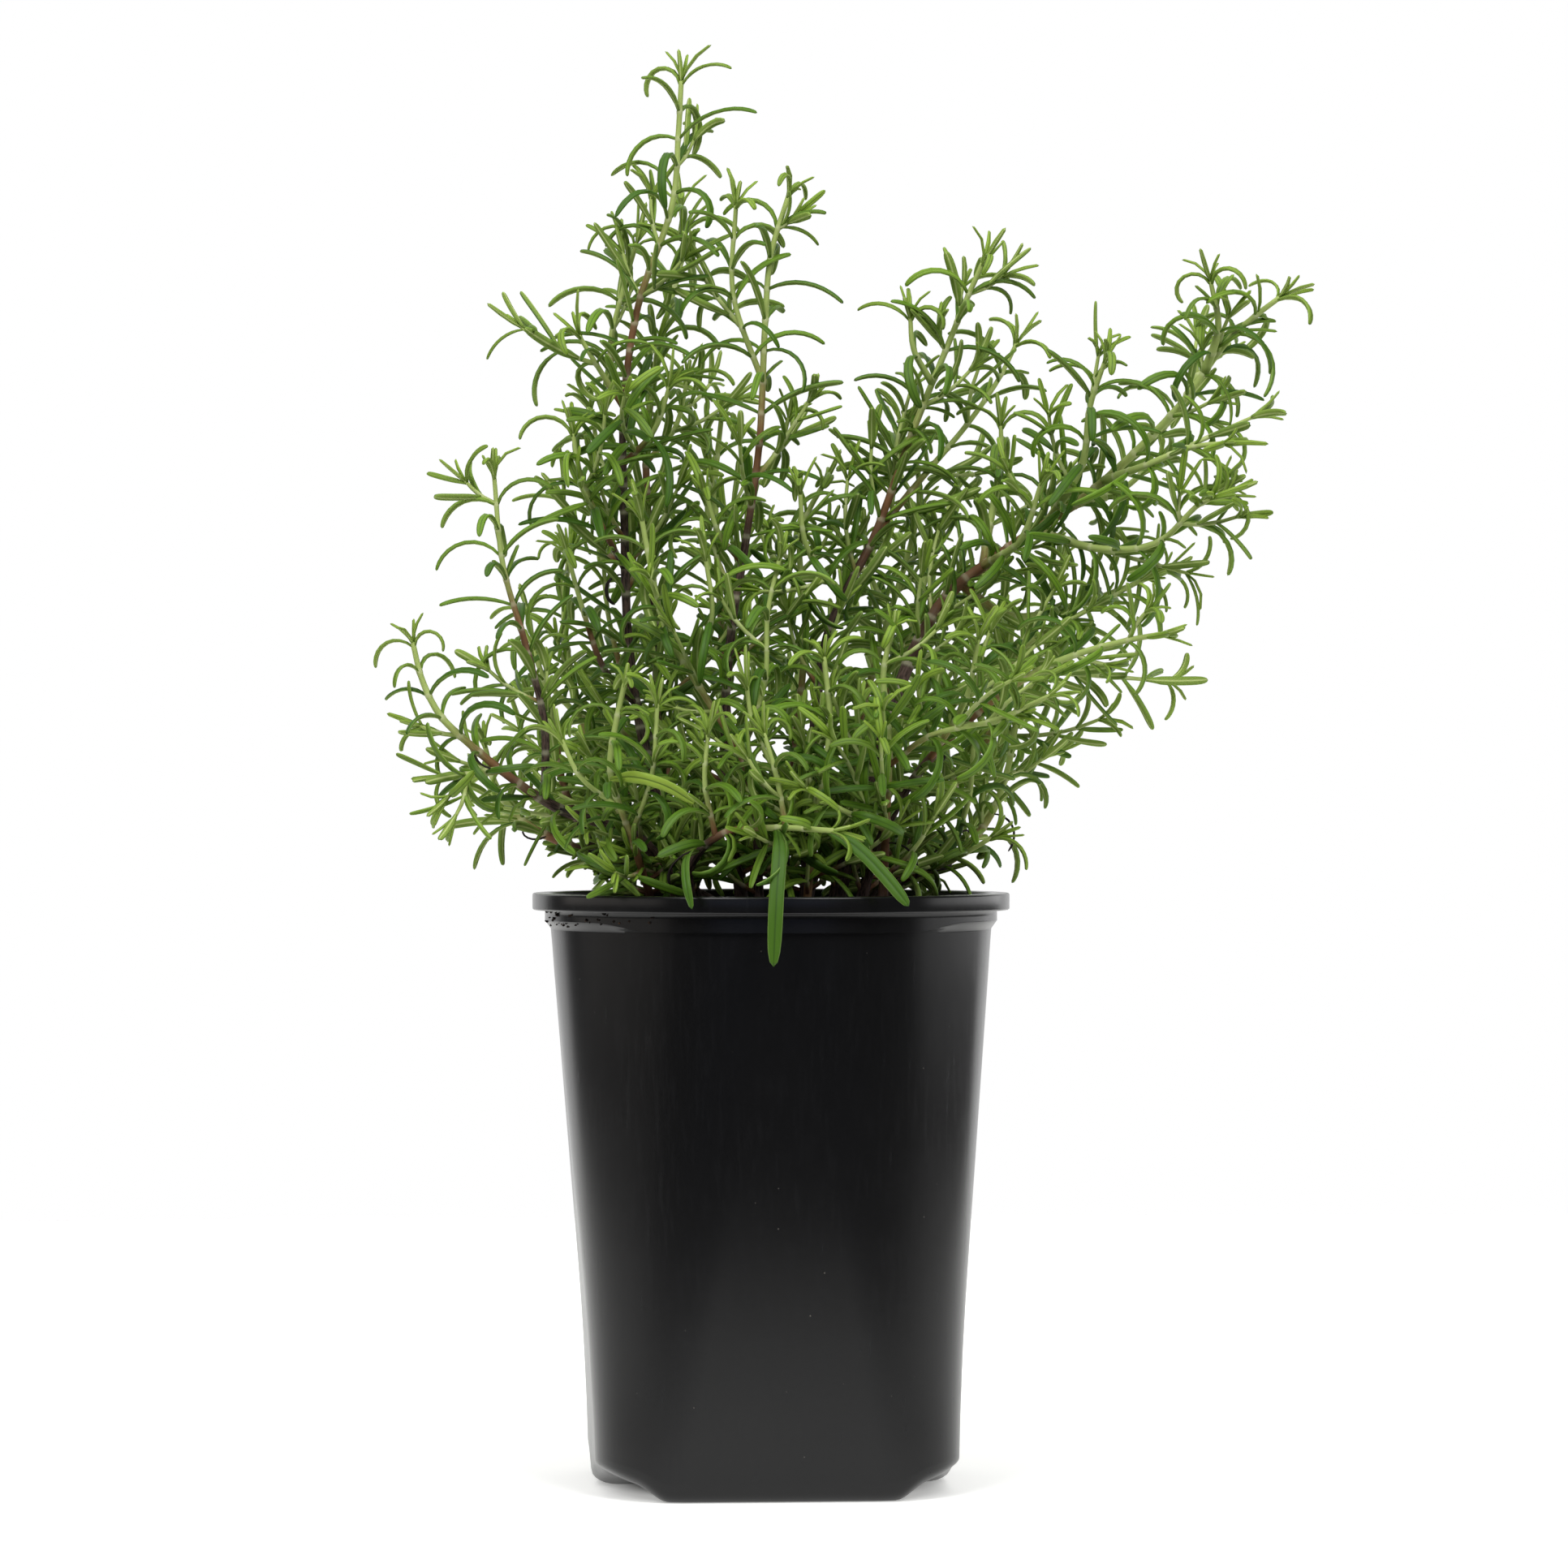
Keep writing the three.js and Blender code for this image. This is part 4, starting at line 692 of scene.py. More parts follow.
def axes_of(name, number):
    """A stem's axes: itself, its branches, and the shoots that the rules put on them. A branch starts
    at the stem's nearest point, and is as old there as its length or a share of the stem's age."""
    bare, radius, leaf, spacing, path, *branches = STEMS[name]
    old = OLD_LENGTH * EARLY_WOOD.get(name, 1)
    trunk = make_line(path)
    stem = {
        "line": trunk, "from": float(bare), "foot": radius, "tip": TIP_RADIUS, "leaf": leaf,
        "spacing": spacing, "seed": number * SEED["stem"], "order": STEM, "age": trunk["total"] / old,
    }
    axes = [stem]
    for i, (start, *rest) in enumerate(branches):
        nearest = np.argmin(np.linalg.norm(trunk["places"] - start, axis=1))
        line = make_line([trunk["places"][nearest], *rest])
        age = max(age_at(stem, trunk["lengths"][nearest]) * BRANCH_AGE, line["total"] / old)
        axes.append({
            **stem, "line": line, "from": 0.0, "foot": radius * BRANCH_SHARE, "tip": BRANCH_TIP_RADIUS,
            "seed": stem["seed"] + (i + 1) * SEED["branch"], "order": BRANCH, "age": age,
        })
    shoots = low_shoots(stem)
    for axis in axes:
        shoots.extend(side_shoots(axis))
    return axes + [shoot for shoot in shoots if fits(shoot["line"]["places"]).all()]


@functools.cache
def plant():
    """Every stem's axes, worked out once."""
    return {name: axes_of(name, number + 1) for number, name in enumerate(STEMS)}


def fits(points):
    """True for points clear of the pot and soil, and inside the solids' box but for a small share."""
    away = np.hypot(points[..., 0], points[..., 1])
    over_soil = (away < MOUTH_RADIUS - MOUTH_ROOM) & (points[..., 2] > SOIL_CROWN + POT_ROOM)
    over_rim = points[..., 2] > POT_HEIGHT + POT_ROOM
    outside = away > RIM_RADIUS + POT_ROOM
    low, high = [np.array(corner) / MM for corner in CAD_BOX]
    slack = (high - low) * BOX_SHARE
    turned = turn_plant(points)
    inside_box = ((turned > low - slack) & (turned < high + slack)).all(-1)
    return (over_soil | over_rim | outside) & inside_box


def stem_rings(axis):
    """Distances of a stem's rings: even steps, with closer ones at each leaf pair's joint."""
    total, order = axis["line"]["total"], axis["order"]
    joints = pair_places(axis)[:-1]
    near = (joints[:, None] + JOINT_RINGS[order]).ravel()
    rings = np.concatenate([np.arange(0, total, RING_STEPS[order]), [total], near])
    rings = np.sort(rings[(rings >= 0) & (rings <= total)])
    return rings[np.append(True, np.diff(rings) > RING_LEAST)], joints


def stem_tube(axis):
    """A stem: a ring of points about each place on its line. The radius tapers, flares at the soil,
    swells at each joint by a bell curve, and on old wood has lengthwise ridges, which are slow sines of
    the angle and the distance."""
    rings, joints = stem_rings(axis)
    line, sides = axis["line"], STEM_SIDES[axis["order"]]
    place, _ = along(line, rings)
    slopes = unit(np.gradient(line["places"], line["lengths"], axis=0))
    ahead = unit(np.stack([np.interp(rings, line["lengths"], slope) for slope in slopes.T], -1))
    angle = round_angles(sides)
    joint = np.exp(-(np.abs(rings[:, None] - joints).min(1) / JOINT_LENGTH) ** 2)
    age = age_at(axis, rings)
    wood = smooth(age, *WOOD_AGES)
    ridges = sum(
        weight * np.sin(count * angle + pitch * rings[:, None] + start * axis["seed"])
        for count, pitch, weight, start in RIDGES)
    flare = np.exp(-np.clip(place[:, 2] - SOIL_CROWN, 0, None) / FLARE_HEIGHT) * (axis["order"] == STEM)
    swell = 1 + JOINT_SWELL * joint * (1 - WOOD_LOSS * wood) + FLARE * flare
    radius = radius_at(axis, rings)[:, None] * (swell[:, None] + RIDGE_HEIGHT * wood[:, None] * ridges)
    points = place[:, None] + outward(ahead[:, None], angle) * radius[..., None]
    skin = closed_skin(points, place[0] - ahead[0] * STEM_SUNK, place[-1] + ahead[-1] * BUD)
    grain = polar(radius, angle, rings[:, None] / GRAIN_STRETCH).reshape(-1, 3)
    return *skin, {
        "age": np.concatenate([np.repeat(age, sides), age[[0, -1]]]),
        "joint": np.concatenate([np.repeat(joint, sides), [0, 0]]),
        "grain": np.vstack([grain, [0, 0, 0], [0, 0, rings[-1] / GRAIN_STRETCH]]),
    }


# Leaves


def leaf_rows(axis, i, distance, side, kind, size, young, hook=0.0, twin=0):
    """Leaves of one kind on one side of an axis. Each value is its kind's own, spread by a draw, and
    young leaves are shorter, narrower and more upright."""
    place, ahead = along(axis["line"], distance)

    def draw(name):
        return chance(axis["seed"] + i + twin * SEED["twin"], DRAW[name] + side)

    turn = kind["turn"] * (draw(kind["draw"] + "_turn") - 0.5) + kind["apart"] * (twin - 0.5)
    out = outward(ahead, pair_angle(axis, i) + side * math.pi + turn)
    length = size * mix(1, YOUNG_LENGTH, young) * mix(*kind["length"], draw(kind["draw"] + "_length"))
    lean = mix(kind["lean"], YOUNG_LEAN, young) + kind["leans"] * (draw(kind["draw"] + "_lean") - 0.5)
    return {
        "root": place + out * radius_at(axis, distance)[:, None] * kind["root"], "ahead": ahead, "out": out,
        "length": length, "lean": lean, "curl": mix(*kind["curl"], draw("curl") ** kind["power"]) + hook,
        "sweep": kind["sweep"] * (draw("sweep") - 0.5), "twist": kind["twist"] * (draw("twist") - 0.5),
        "width": mix(*kind["width"], draw("width")) * mix(1, YOUNG_WIDTH, young),
        "shade": draw("shade"), "young": kind["youth"] + YOUNG_LOOK * young,
    }


def grown_rows(axis):
    """The grown leaves of an axis in crossed pairs, by the solids' rule. They are younger on the last
    stretch before the tip, and hook down more towards it."""
    shoot = axis["order"] == SHOOT
    places = pair_places(axis)
    to_tip = axis["line"]["total"] - places
    young = np.clip(1 - to_tip / YOUNG_STRETCH, 0, None)
    hook = (SHOOT_HOOK if shoot else HOOK) * np.clip(1 - to_tip / HOOK_STRETCH, 0, 1)
    size = axis["leaf"] * (SHOOT_LEAF_SHARE if shoot else 1)
    i = np.arange(len(places))
    return [leaf_rows(axis, i, places, side, GROWN, size, young, hook) for side in (0, 1)]


def small_rows(axis, axes):
    """Small leaves: twins in some axils that hold no shoot, and crossed pairs round each tip's bud."""
    rows = []
    places = pair_places(axis)
    taken = {shoot["sits_at"] for shoot in axes if shoot.get("parent") is axis}
    sides = () if axis["order"] == SHOOT else (0, 1)
    for side in sides:
        free = np.array([n for n in range(len(places) - 1) if (n, side) not in taken], int)
        for twin in (0, 1):
            drawn = chance(axis["seed"] + free + twin * SEED["twin"], DRAW["tuft"] + side)
            i = free[drawn < TUFT_SHARE]
            distance = places[i] + AXIL_OFFSET
            rows.append(leaf_rows(axis, i, distance, side, AXIL, axis["leaf"], 0.0 * i, twin=twin))
    i = np.arange(1 if axis["order"] == SHOOT else 2)
    distance = axis["line"]["total"] - CROWN_SETBACK + i
    return rows + [
        leaf_rows(axis, i, distance, side, CROWN, axis["leaf"], 0.0 * i, twin=2) for side in (0, 1)]


def clear_rows(rows):
    """The leaves of several rows as one, kept where the middle line is clear of the pot and inside
    the box."""
    rows = {key: np.concatenate([row[key] for row in rows]) for key in rows[0]}
    kept = fits(leaf_lines(rows, CHECKED_AT)[0]).all(1)
    return {key: values[kept] for key, values in rows.items()}


def leaf_outline(share):
    """A leaf's width along it, as a share: a short foot, parallel sides and a blunt tip, which is the
    root of one less a high power."""
    return mix(LEAF_FOOT, 1, smooth(share, 0, LEAF_FOOT_LENGTH)) * np.sqrt(1 - share ** LEAF_TIP_POWER)


def leaf_lines(rows, share):
    """Leaves' middle lines, with the directions across and up, at shares of the length. A line leaves
    the stem at the lean angle and turns by the curl in even steps, so its place is the integral of the
    turning direction. It sweeps sideways by the square of the share, and twists evenly."""
    length, lean, curl, sweep, twist = [
        rows[key][:, None] for key in ("length", "lean", "curl", "sweep", "twist")]
    curl = np.where(np.abs(curl) < CURL_LEAST, CURL_LEAST, curl)
    turned = lean + curl * share
    forth = length * (np.sin(turned) - np.sin(lean)) / curl
    away = length * (np.cos(lean) - np.cos(turned)) / curl
    drift = length * sweep * share ** 2
    ahead, out = rows["ahead"][:, None], rows["out"][:, None]
    side = unit(np.cross(ahead, out))
    middle = rows["root"][:, None] + (
        ahead * forth[..., None] + out * away[..., None] + side * drift[..., None])
    forward = unit(
        ahead * np.cos(turned)[..., None] + out * np.sin(turned)[..., None]
        + side * (2 * sweep * share)[..., None])
    up = unit(np.cross(forward, side))
    across = np.cross(up, forward)
    turn = (twist * share)[..., None]
    return middle, across * np.cos(turn) + up * np.sin(turn), up * np.cos(turn) - across * np.sin(turn)


def blades(lines, width, section, rings, rows):
    """Leaves as rings of a section set across their middle lines, closed by a point at the tip and a
    flat fan at the foot. The section is as wide as the outline there, and thins less than it."""
    middle, across, up = lines
    outline = leaf_outline(rings)
    wide = (width[:, None] * outline)[..., None] * section[:, 0]
    deep = (width[:, None] * mix(LEAF_DEPTH, 1, outline))[..., None] * section[:, 1]
    ring = middle[:, :-1, None] + across[:, :-1, None] * wide[..., None] + up[:, :-1, None] * deep[..., None]
    copies, sides = len(middle), len(section)
    last = len(rings) * sides
    points = np.concatenate([ring.reshape(copies, -1, 3), middle[:, -1:]], 1)
    fan = np.stack([np.zeros(sides - 2, int), np.arange(2, sides), np.arange(1, sides - 1)], -1)
    triangles = np.vstack([end_faces(last - sides, sides, last), fan])
    return *copy_skin(points, ring_faces(len(rings), sides), triangles), {
        "top": np.tile(np.append(np.tile(section[:, 2], len(rings)), TIP_TOP), copies),
        "across": np.tile(np.append(np.tile(section[:, 0] * 2, len(rings)), 0.0), copies),
        "along": (rows["length"][:, None] * np.append(np.repeat(rings, sides), 1.0)).ravel(),
        "shade": np.repeat(rows["shade"], last + 1), "young": np.repeat(rows["young"], last + 1),
    }


def leaf_mesh(rows, width, section, rings):
    """Leaves that grow by rows of values."""
    return blades(leaf_lines(rows, np.append(rings, 1.0)), width * rows["width"], section, rings, rows)


def lone_leaf(width, youth, path):
    """A large leaf on a smooth path, thinner than others, its top face away from the pot's axis."""
    line = make_line(path)
    middle, _ = along(line, np.append(LONE_RINGS, 1.0) * line["total"])
    slopes = unit(np.gradient(middle, axis=0))
    outside = unit(np.array([*path[0][:2], 0.0]))
    side = unit(np.cross(slopes, outside))
    lines = [part[None] for part in (middle, -side, np.cross(side, slopes) * LONE_THICKNESS)]
    rows = {"length": np.array([line["total"]]), "shade": [LONE_SHADE], "young": [youth]}
    return blades(lines, np.array([width]), LONE_SECTION, LONE_RINGS, rows)


def dried_rows():
    """Dried leaves on their stems: thin, swept and twisted by waves of their angle round the stem."""
    lines = [plant()[name][0]["line"] for name, *_ in DRIED_LEAVES]
    distance, angle, length, curl = np.array([row[1:] for row in DRIED_LEAVES], float).T
    place, ahead = [np.stack(part) for part in zip(*[along(line, d) for line, d in zip(lines, distance)])]
    even = np.ones(len(lines))
    return {
        "root": place, "ahead": ahead, "out": outward(ahead, angle), "length": length, "curl": curl,
        "lean": even * DRIED["lean"], "sweep": np.cos(angle * DRIED["sweep_waves"]) * DRIED["sweep"],
        "twist": np.sin(angle * DRIED["twist_waves"]) * DRIED["twist"], "width": even, "shade": even,
        "young": even * 0,
    }


# Pot


def rounded_square(angle, half, corner):
    """Distance from the axis to a rounded square's edge: along a flat side it is the half width over
    the cosine, and on a corner it is the far crossing of a ray with the corner's circle."""
    folded = np.minimum(np.mod(angle, QUARTER), QUARTER - np.mod(angle, QUARTER))
    inner = half - corner
    inside = corner ** 2 - inner ** 2 * (1 - np.sin(2 * folded))
    round_part = inner * (np.cos(folded) + np.sin(folded)) + np.sqrt(np.maximum(inside, 0))
    return np.where(half * np.tan(folded) <= inner, half / np.cos(folded), round_part)


def body_at(z):
    """Half width and corner radius at a height: straight lines between the rows of BODY, eased where
    they meet by averaging over a short span of height."""
    top = BODY[-1, 0]
    heights = np.clip(z + np.linspace(-BODY_EASE, BODY_EASE, EASE_STEPS), BODY[0, 0], top)
    heights = mix(z, heights, min(1, max(0, min(z, top - z)) / BODY_EASE))
    return [np.interp(heights, BODY[:, 0], BODY[:, k]).mean() for k in (1, 2)]


def corner_lift(reach, angle, z, grow):
    """How far the skin is lifted at its corners: nothing on the sole, rising beyond it steeply and then
    gently on one face and by a sine on the other, and less with height."""
    beyond = np.abs(reach * np.cos(angle)) - FOOT_HALF + grow
    steep = sum(np.interp(beyond + shift, *FRONT_SLOPE) for shift in SLOPE_SHIFTS) / len(SLOPE_SHIFTS)
    gentle = np.clip((np.abs(reach * np.sin(angle)) - SIDE_FOOT_HALF + grow) / SIDE_SLOPE, 0, 1)
    return CORNER_LIFT * steep * np.sin(gentle * QUARTER) * np.clip(1 - z / LIFT_HEIGHT, 0, 1)


def pot_profile():
    """Rows of the pot's skin from the middle of its sole, up the outside, over the rim and down the
    inside to the middle of its floor. Each has a height. A body row has the foot's rounding and the
    wall to take off the body, and its share of the reach. A shoulder row has its shares of the collar's
    roundness and of the shoulder's rise, and a rim row has a radius."""
    shoulder = BODY[-1, 0]
    rim_foot = POT_HEIGHT - RIM_BAND
    sole = [{"z": 0.0, "rounding": FOOT_ROUNDING, "share": share}
            for share in np.linspace(INNERMOST, 1 - INNERMOST, POT_ROWS["sole"])]
    foot = [{"z": FOOT_ROUNDING * (1 - math.cos(turn)), "rounding": FOOT_ROUNDING * (1 - math.sin(turn))}
            for turn in np.linspace(0, QUARTER, POT_ROWS["foot"])]
    wall = [{"z": z} for z in np.linspace(
        FOOT_ROUNDING + WALL_GAPS[0], shoulder - WALL_GAPS[1], POT_ROWS["wall"])]
    shares = np.linspace(0, 1, POT_ROWS["shoulder"])
    collar = [{"z": shoulder, "round": share, "rise": share} for share in shares]
    collar += [{"z": z, "round": 1.0, "rise": rise} for z, rise in (
        (shoulder + EDGE_GAP, 1.0), (mix(shoulder + SHOULDER_HEIGHT, rim_foot, 0.5), 0.0),
        (rim_foot - EDGE_GAP, 0.0))]
    rim = [{"z": z, "radius": radius} for radius, z in rim_outline(rim_foot)]
    rim += [{"z": mix(shoulder, rim_foot, 0.5), "radius": MOUTH_RADIUS - MOUTH_STEP}]
    inside = [{"z": z, "wall": WALL} for z in np.linspace(
        shoulder - INSIDE_GAP, FOOT_ROUNDING + FLOOR, POT_ROWS["inside"])]
    floor = [{"z": FLOOR, "rounding": FOOT_ROUNDING, "wall": WALL, "share": share}
             for share in np.linspace(1, INNERMOST, POT_ROWS["floor"])]
    return sole + foot + wall + collar + rim + inside + floor


def rim_outline(rim_foot):
    """Radius and height round the rim band: its underside, two rounded outer edges, its flat top, and
    a rounded inner edge, each edge a quarter circle."""
    outline = [(COLLAR_RADIUS + EDGE_GAP, rim_foot)]
    for quarter, radius, z, size in (
            (-1, RIM_RADIUS - RIM_EDGE, rim_foot + RIM_EDGE, RIM_EDGE),
            (0, RIM_RADIUS - RIM_EDGE, POT_HEIGHT - RIM_EDGE, RIM_EDGE),
            (1, MOUTH_RADIUS + MOUTH_EDGE, POT_HEIGHT - MOUTH_EDGE, MOUTH_EDGE)):
        for turn in (quarter + np.linspace(0, 1, POT_ROWS["edge"])) * QUARTER:
            outline.append((radius + size * math.cos(turn), z + size * math.sin(turn)))
    return outline + [(MOUTH_RADIUS, rim_foot)]


def pot_rings():
    """The pot's rows as rings of points. The foot's rounding grows towards the two sides as the square
    of the cosine of the angle. The shoulder rises at the sides and fades to its least share."""
    angle = round_angles(POT_SIDES)
    shoulder = rounded_square(angle, *body_at(BODY[-1, 0]))
    rise = SHOULDER_HEIGHT * np.maximum(smooth(np.abs(np.cos(angle)), *SHOULDER_SPAN), SHOULDER_LEAST)
    wider = 1 + (SIDE_ROUNDING / FOOT_ROUNDING - 1) * np.cos(angle) ** 2
    rings = []
    for row in pot_profile():
        z = row["z"]
        if "radius" in row:
            reach = row["radius"]
        elif "round" in row:
            reach = mix(shoulder, COLLAR_RADIUS, row["round"])
            z = z + row["rise"] * rise
        else:
            wall = row.get("wall", 0.0)
            reach = rounded_square(angle, *body_at(z)) - wall - row.get("rounding", 0.0) * wider
            reach = reach * row.get("share", 1.0)
            z = z + corner_lift(reach, angle, z, wall)
        rings.append(polar(reach, angle, z))
    return np.stack(rings)


def cut_drains(pot):
    """Cuts an upright round hole through each lifted corner, applies the cut, and splits the faces it
    leaves into triangles that close."""
    ends = [(0, 0, z) for z in DRAIN_SPAN]
    ring = polar(DRAIN_RADIUS, round_angles(DRAIN_SIDES, DRAIN_START), 0.0)
    points, quads, triangles = closed_skin(np.stack([ring + end for end in ends]), *ends)
    corners = np.array([(1, 1, 0), (-1, 1, 0), (-1, -1, 0), (1, -1, 0)]) * DRAIN_CENTRE
    cutter = put_mesh("drain_cutter", *copy_skin(corners[:, None] + points, quads, triangles))
    cut = pot.modifiers.new("drains", "BOOLEAN")
    cut.operation, cut.solver, cut.object = "DIFFERENCE", "EXACT", cutter
    split = pot.modifiers.new("triangles", "TRIANGULATE")
    bpy.context.view_layer.objects.active = pot
    for modifier in (cut, split):
        bpy.ops.object.modifier_apply(modifier=modifier.name)
    bpy.data.objects.remove(cutter)


# Potting mix


def soil_top(x, y):
    """Height of the soil: a low dome with broad lumps that fade towards the wall, and grit that is a
    sum of ever finer and lower sines in turned directions."""
    away = np.hypot(x, y) / MOUTH_RADIUS
    dome = (SOIL_CROWN - SOIL_EDGE) * np.maximum(0, 1 - away ** 2)
    lumps = (np.sin(x * LUMPS_RIGHT[0] + LUMPS_RIGHT[1]) * np.cos(y * LUMPS_BACK[0] + LUMPS_BACK[1]))
    step = np.arange(1, GRIT_WAVES + 1)
    turn = step * GRIT_TURN
    forth = x[..., None] * np.cos(turn) + y[..., None] * np.sin(turn)
    grit = (np.sin(forth * GRIT_PITCH * step + step) / (1 + GRIT_FADE * step)).sum(-1)
    return SOIL_EDGE + dome + SOIL_RELIEF * lumps * (1 - away ** 6) + GRIT_HEIGHT * grit


def soil_mesh():
    """The root ball: body rings a fit inside the pot's wall, closed by a crumbly top."""
    angle = round_angles(SOIL_SIDES)
    rows = [(FLOOR + FIT, FOOT_ROUNDING + WALL + FIT, share) for share in SOIL_SOLE]
    rows += [(z, WALL + FIT, 1) for z in np.linspace(FOOT_ROUNDING + FLOOR, SOIL_EDGE, SOIL_WALL_ROWS)]
    rings = []
    for z, inset, share in rows:
        half, corner = body_at(z)
        reach = rounded_square(angle, half - inset, corner - inset) * share
        rings.append(polar(reach, angle, z + corner_lift(reach, angle, z, WALL + FIT * SOLE_FIT)))
    x, y = rings[-1][:, 0], rings[-1][:, 1]
    for share in np.linspace(*SOIL_TOP):
        rings.append(np.stack([x * share, y * share, soil_top(x * share, y * share)], -1))
    return closed_skin(np.stack(rings), (0, 0, FLOOR + FIT), (0, 0, SOIL_CROWN))


def crumb_places():
    """Centres and sizes of the crumbs: evenly over the soil, and along the collar, more at its left."""
    rng = np.random.default_rng(PLACE_SEED)
    count = LOOSE["count"]
    away = (MOUTH_RADIUS - LOOSE["margin"]) * np.sqrt(rng.uniform(0, 1, count))
    turn = rng.uniform(0, FULL_TURN, count)
    x, y = away * np.cos(turn), away * np.sin(turn)
    sizes = rng.uniform(*LOOSE["size"], count) * rng.uniform(*LOOSE["shrink"], count)
    loose = np.stack([x, y, soil_top(x, y) + sizes * LOOSE["lift"]], -1)
    count = STUCK["count"]
    turn = STUCK["start"] + rng.uniform(0, 1, count) ** STUCK["crowding"] * STUCK["span"]
    z = POT_HEIGHT - RIM_BAND - rng.uniform(*STUCK["below"], count)
    low = z <= BODY[-1, 0] + SHOULDER_HEIGHT * STUCK["step"]
    stuck = polar(COLLAR_RADIUS - STUCK["sunk"] * low, turn, z)
    return np.vstack([loose, stuck]), np.concatenate([sizes, rng.uniform(*STUCK["size"], count)])


def crumb_mesh(centres, sizes):
    """Crumbs as small balls of a few rings, each corner moved in or out and each axis stretched."""
    turn = np.arange(CRUMB_RINGS, 0, -1)[:, None] / (CRUMB_RINGS + 1) * math.pi
    rings = polar(np.sin(turn), round_angles(CRUMB_SIDES), np.cos(turn))
    ball, quads, triangles = closed_skin(rings, (0, 0, -1), (0, 0, 1))
    rng = np.random.default_rng(CRUMB_SEED)
    swell = rng.uniform(*CRUMB_SWELL, (len(centres), len(ball), 1))
    stretch = rng.uniform(*CRUMB_STRETCH, (len(centres), 1, 3)) * CRUMB_FLATNESS
    points = centres[:, None] + ball * swell * stretch * sizes[:, None, None]
    return copy_skin(points, quads, triangles)


# Materials


def add(tree, kind, settings=None, inputs=None, output=0):
    """Adds a shader node with its settings, sets or links its inputs, and gives one of its outputs."""
    node = tree.nodes.new("ShaderNode" + kind)
    for key, value in (settings or {}).items():
        setattr(node, key, value)
    for key, value in (inputs or {}).items():
        if isinstance(value, bpy.types.NodeSocket):
            tree.links.new(value, node.inputs[key])
        else:
            node.inputs[key].default_value = value
    return node.outputs[output] if node.outputs else None


def make_material(name, make_shader, *settings):
    """A material whose surface is the shader that a function makes from the settings."""
    material = bpy.data.materials.new(name)
    material.use_nodes = True
    tree = material.node_tree
    tree.nodes.clear()
    add(tree, "OutputMaterial", None, {"Surface": make_shader(tree, *settings)})
    return material


def repeats(pattern):
    """How often a pattern repeats in a metre: one over its size in metres."""
    return 1 / (PATTERNS[pattern] * MM)


def leaf_shader(tree, settings):
    """Rosemary leaf: leathery, waxed and finely pebbled above, with painted shade darkening its sunken line
    and rolled edges paler, partly their own colour and partly a painted highlight; matt and felted
    grey-green below with a pale rib. Light comes through a little, so young leaves look bright."""
    top, across, length, shade, young = [
        add(tree, "Attribute", {"attribute_name": name}, None, "Fac")
        for name in ("top", "across", "along", "shade", "young")]
    place = add(tree, "TexCoord", None, None, "Object")
    mottle = add(tree, "TexNoise", None, {"Vector": place, "Scale": repeats("mottle"), "Detail": 2.0}, "Fac")
    felt = add(tree, "TexNoise", None, {"Vector": place, "Scale": repeats("felt"), "Detail": 1.0}, "Fac")
    out = add(tree, "Math", {"operation": "ABSOLUTE"}, {0: across})
    # Ramps of the leaf's own tone, its dusty patches, its sunken line darkened as painted shade, its rolled
    # edges paled partly as a painted highlight, and rib, which of its faces it is, and the pebbles' relief,
    # which flattens out towards the edges
    warm, dusty, groove_shade, edge, rib, is_top, relief = [
        add(tree, "MapRange", SMOOTH, dict(zip(RAMP, row))) for row in (
            (shade, 0.25, 0.9, 1.0), (mottle, 0.5, 0.72, 0.35), (out, 0.2, 0.0, 0.7), (out, 0.86, 1.0, 0.55),
            (out, 0.3, 0.05, 1.0), (top, 0.25, 0.5, 1.0), (out, 0.85, 0.5, 0.09))]
    colour = (*settings.leaf_dark, 1)
    for share, over in (
            (warm, (*settings.leaf_light, 1)), (dusty, LINEAR["leaf_dusty"]), (young, LINEAR["leaf_young"])):
        colour = add(tree, "Mix", COLOUR, {SHARE: share, UNDER: colour, OVER: over}, MIXED)
    above = colour
    # Painted shade darkens the sunken line, and the pale rolled edges are partly their own colour and partly
    # a painted highlight
    for share, over in ((groove_shade, LINEAR["leaf_groove_shade"]), (edge, LINEAR["leaf_edge_highlight"])):
        above = add(tree, "Mix", COLOUR, {SHARE: share, UNDER: above, OVER: over}, MIXED)
    below = add(tree, "Mix", COLOUR, {SHARE: 0.35, UNDER: LINEAR["underside"], OVER: colour}, MIXED)
    hairs = add(tree, "CombineColor", None, {0: felt, 1: felt, 2: felt})
    for blend, share, over in (("SOFT_LIGHT", 0.25, hairs), ("MIX", rib, LINEAR["rib"])):
        colours = {SHARE: share, UNDER: below, OVER: over}
        below = add(tree, "Mix", {**COLOUR, "blend_type": blend}, colours, MIXED)
    # Rows of pebbles along the leaf, a few across it, and different on each leaf
    row = add(tree, "CombineXYZ", None, {
        n: add(tree, "Math", PRODUCT, {0: value, 1: factor}) for n, (value, factor) in enumerate((
            (length, 1 / PATTERNS["pebble"]), (across, PEBBLES_ACROSS), (shade, PEBBLE_SEED)))})
    pebbles = add(tree, "TexVoronoi", {"feature": "SMOOTH_F1"}, {"Vector": row, "Scale": 1.0}, "Distance")
    return add(tree, "BsdfPrincipled", None, {
        "Base Color": add(tree, "Mix", COLOUR, {SHARE: is_top, UNDER: below, OVER: above}, MIXED),
        "Roughness": add(tree, "MapRange", None, {VALUE: is_top, LOW: 0.85, HIGH: 0.5}),
        "Normal": add(tree, "Bump", {"invert": True}, {
            "Strength": relief, "Distance": PEBBLE_HEIGHT * MM, "Height": pebbles}),
        "Specular IOR Level": 0.25, "Subsurface Weight": 0.1, "Subsurface Scale": 0.7 * MM,
        "Subsurface Radius": (0.7, 1.0, 0.3)})


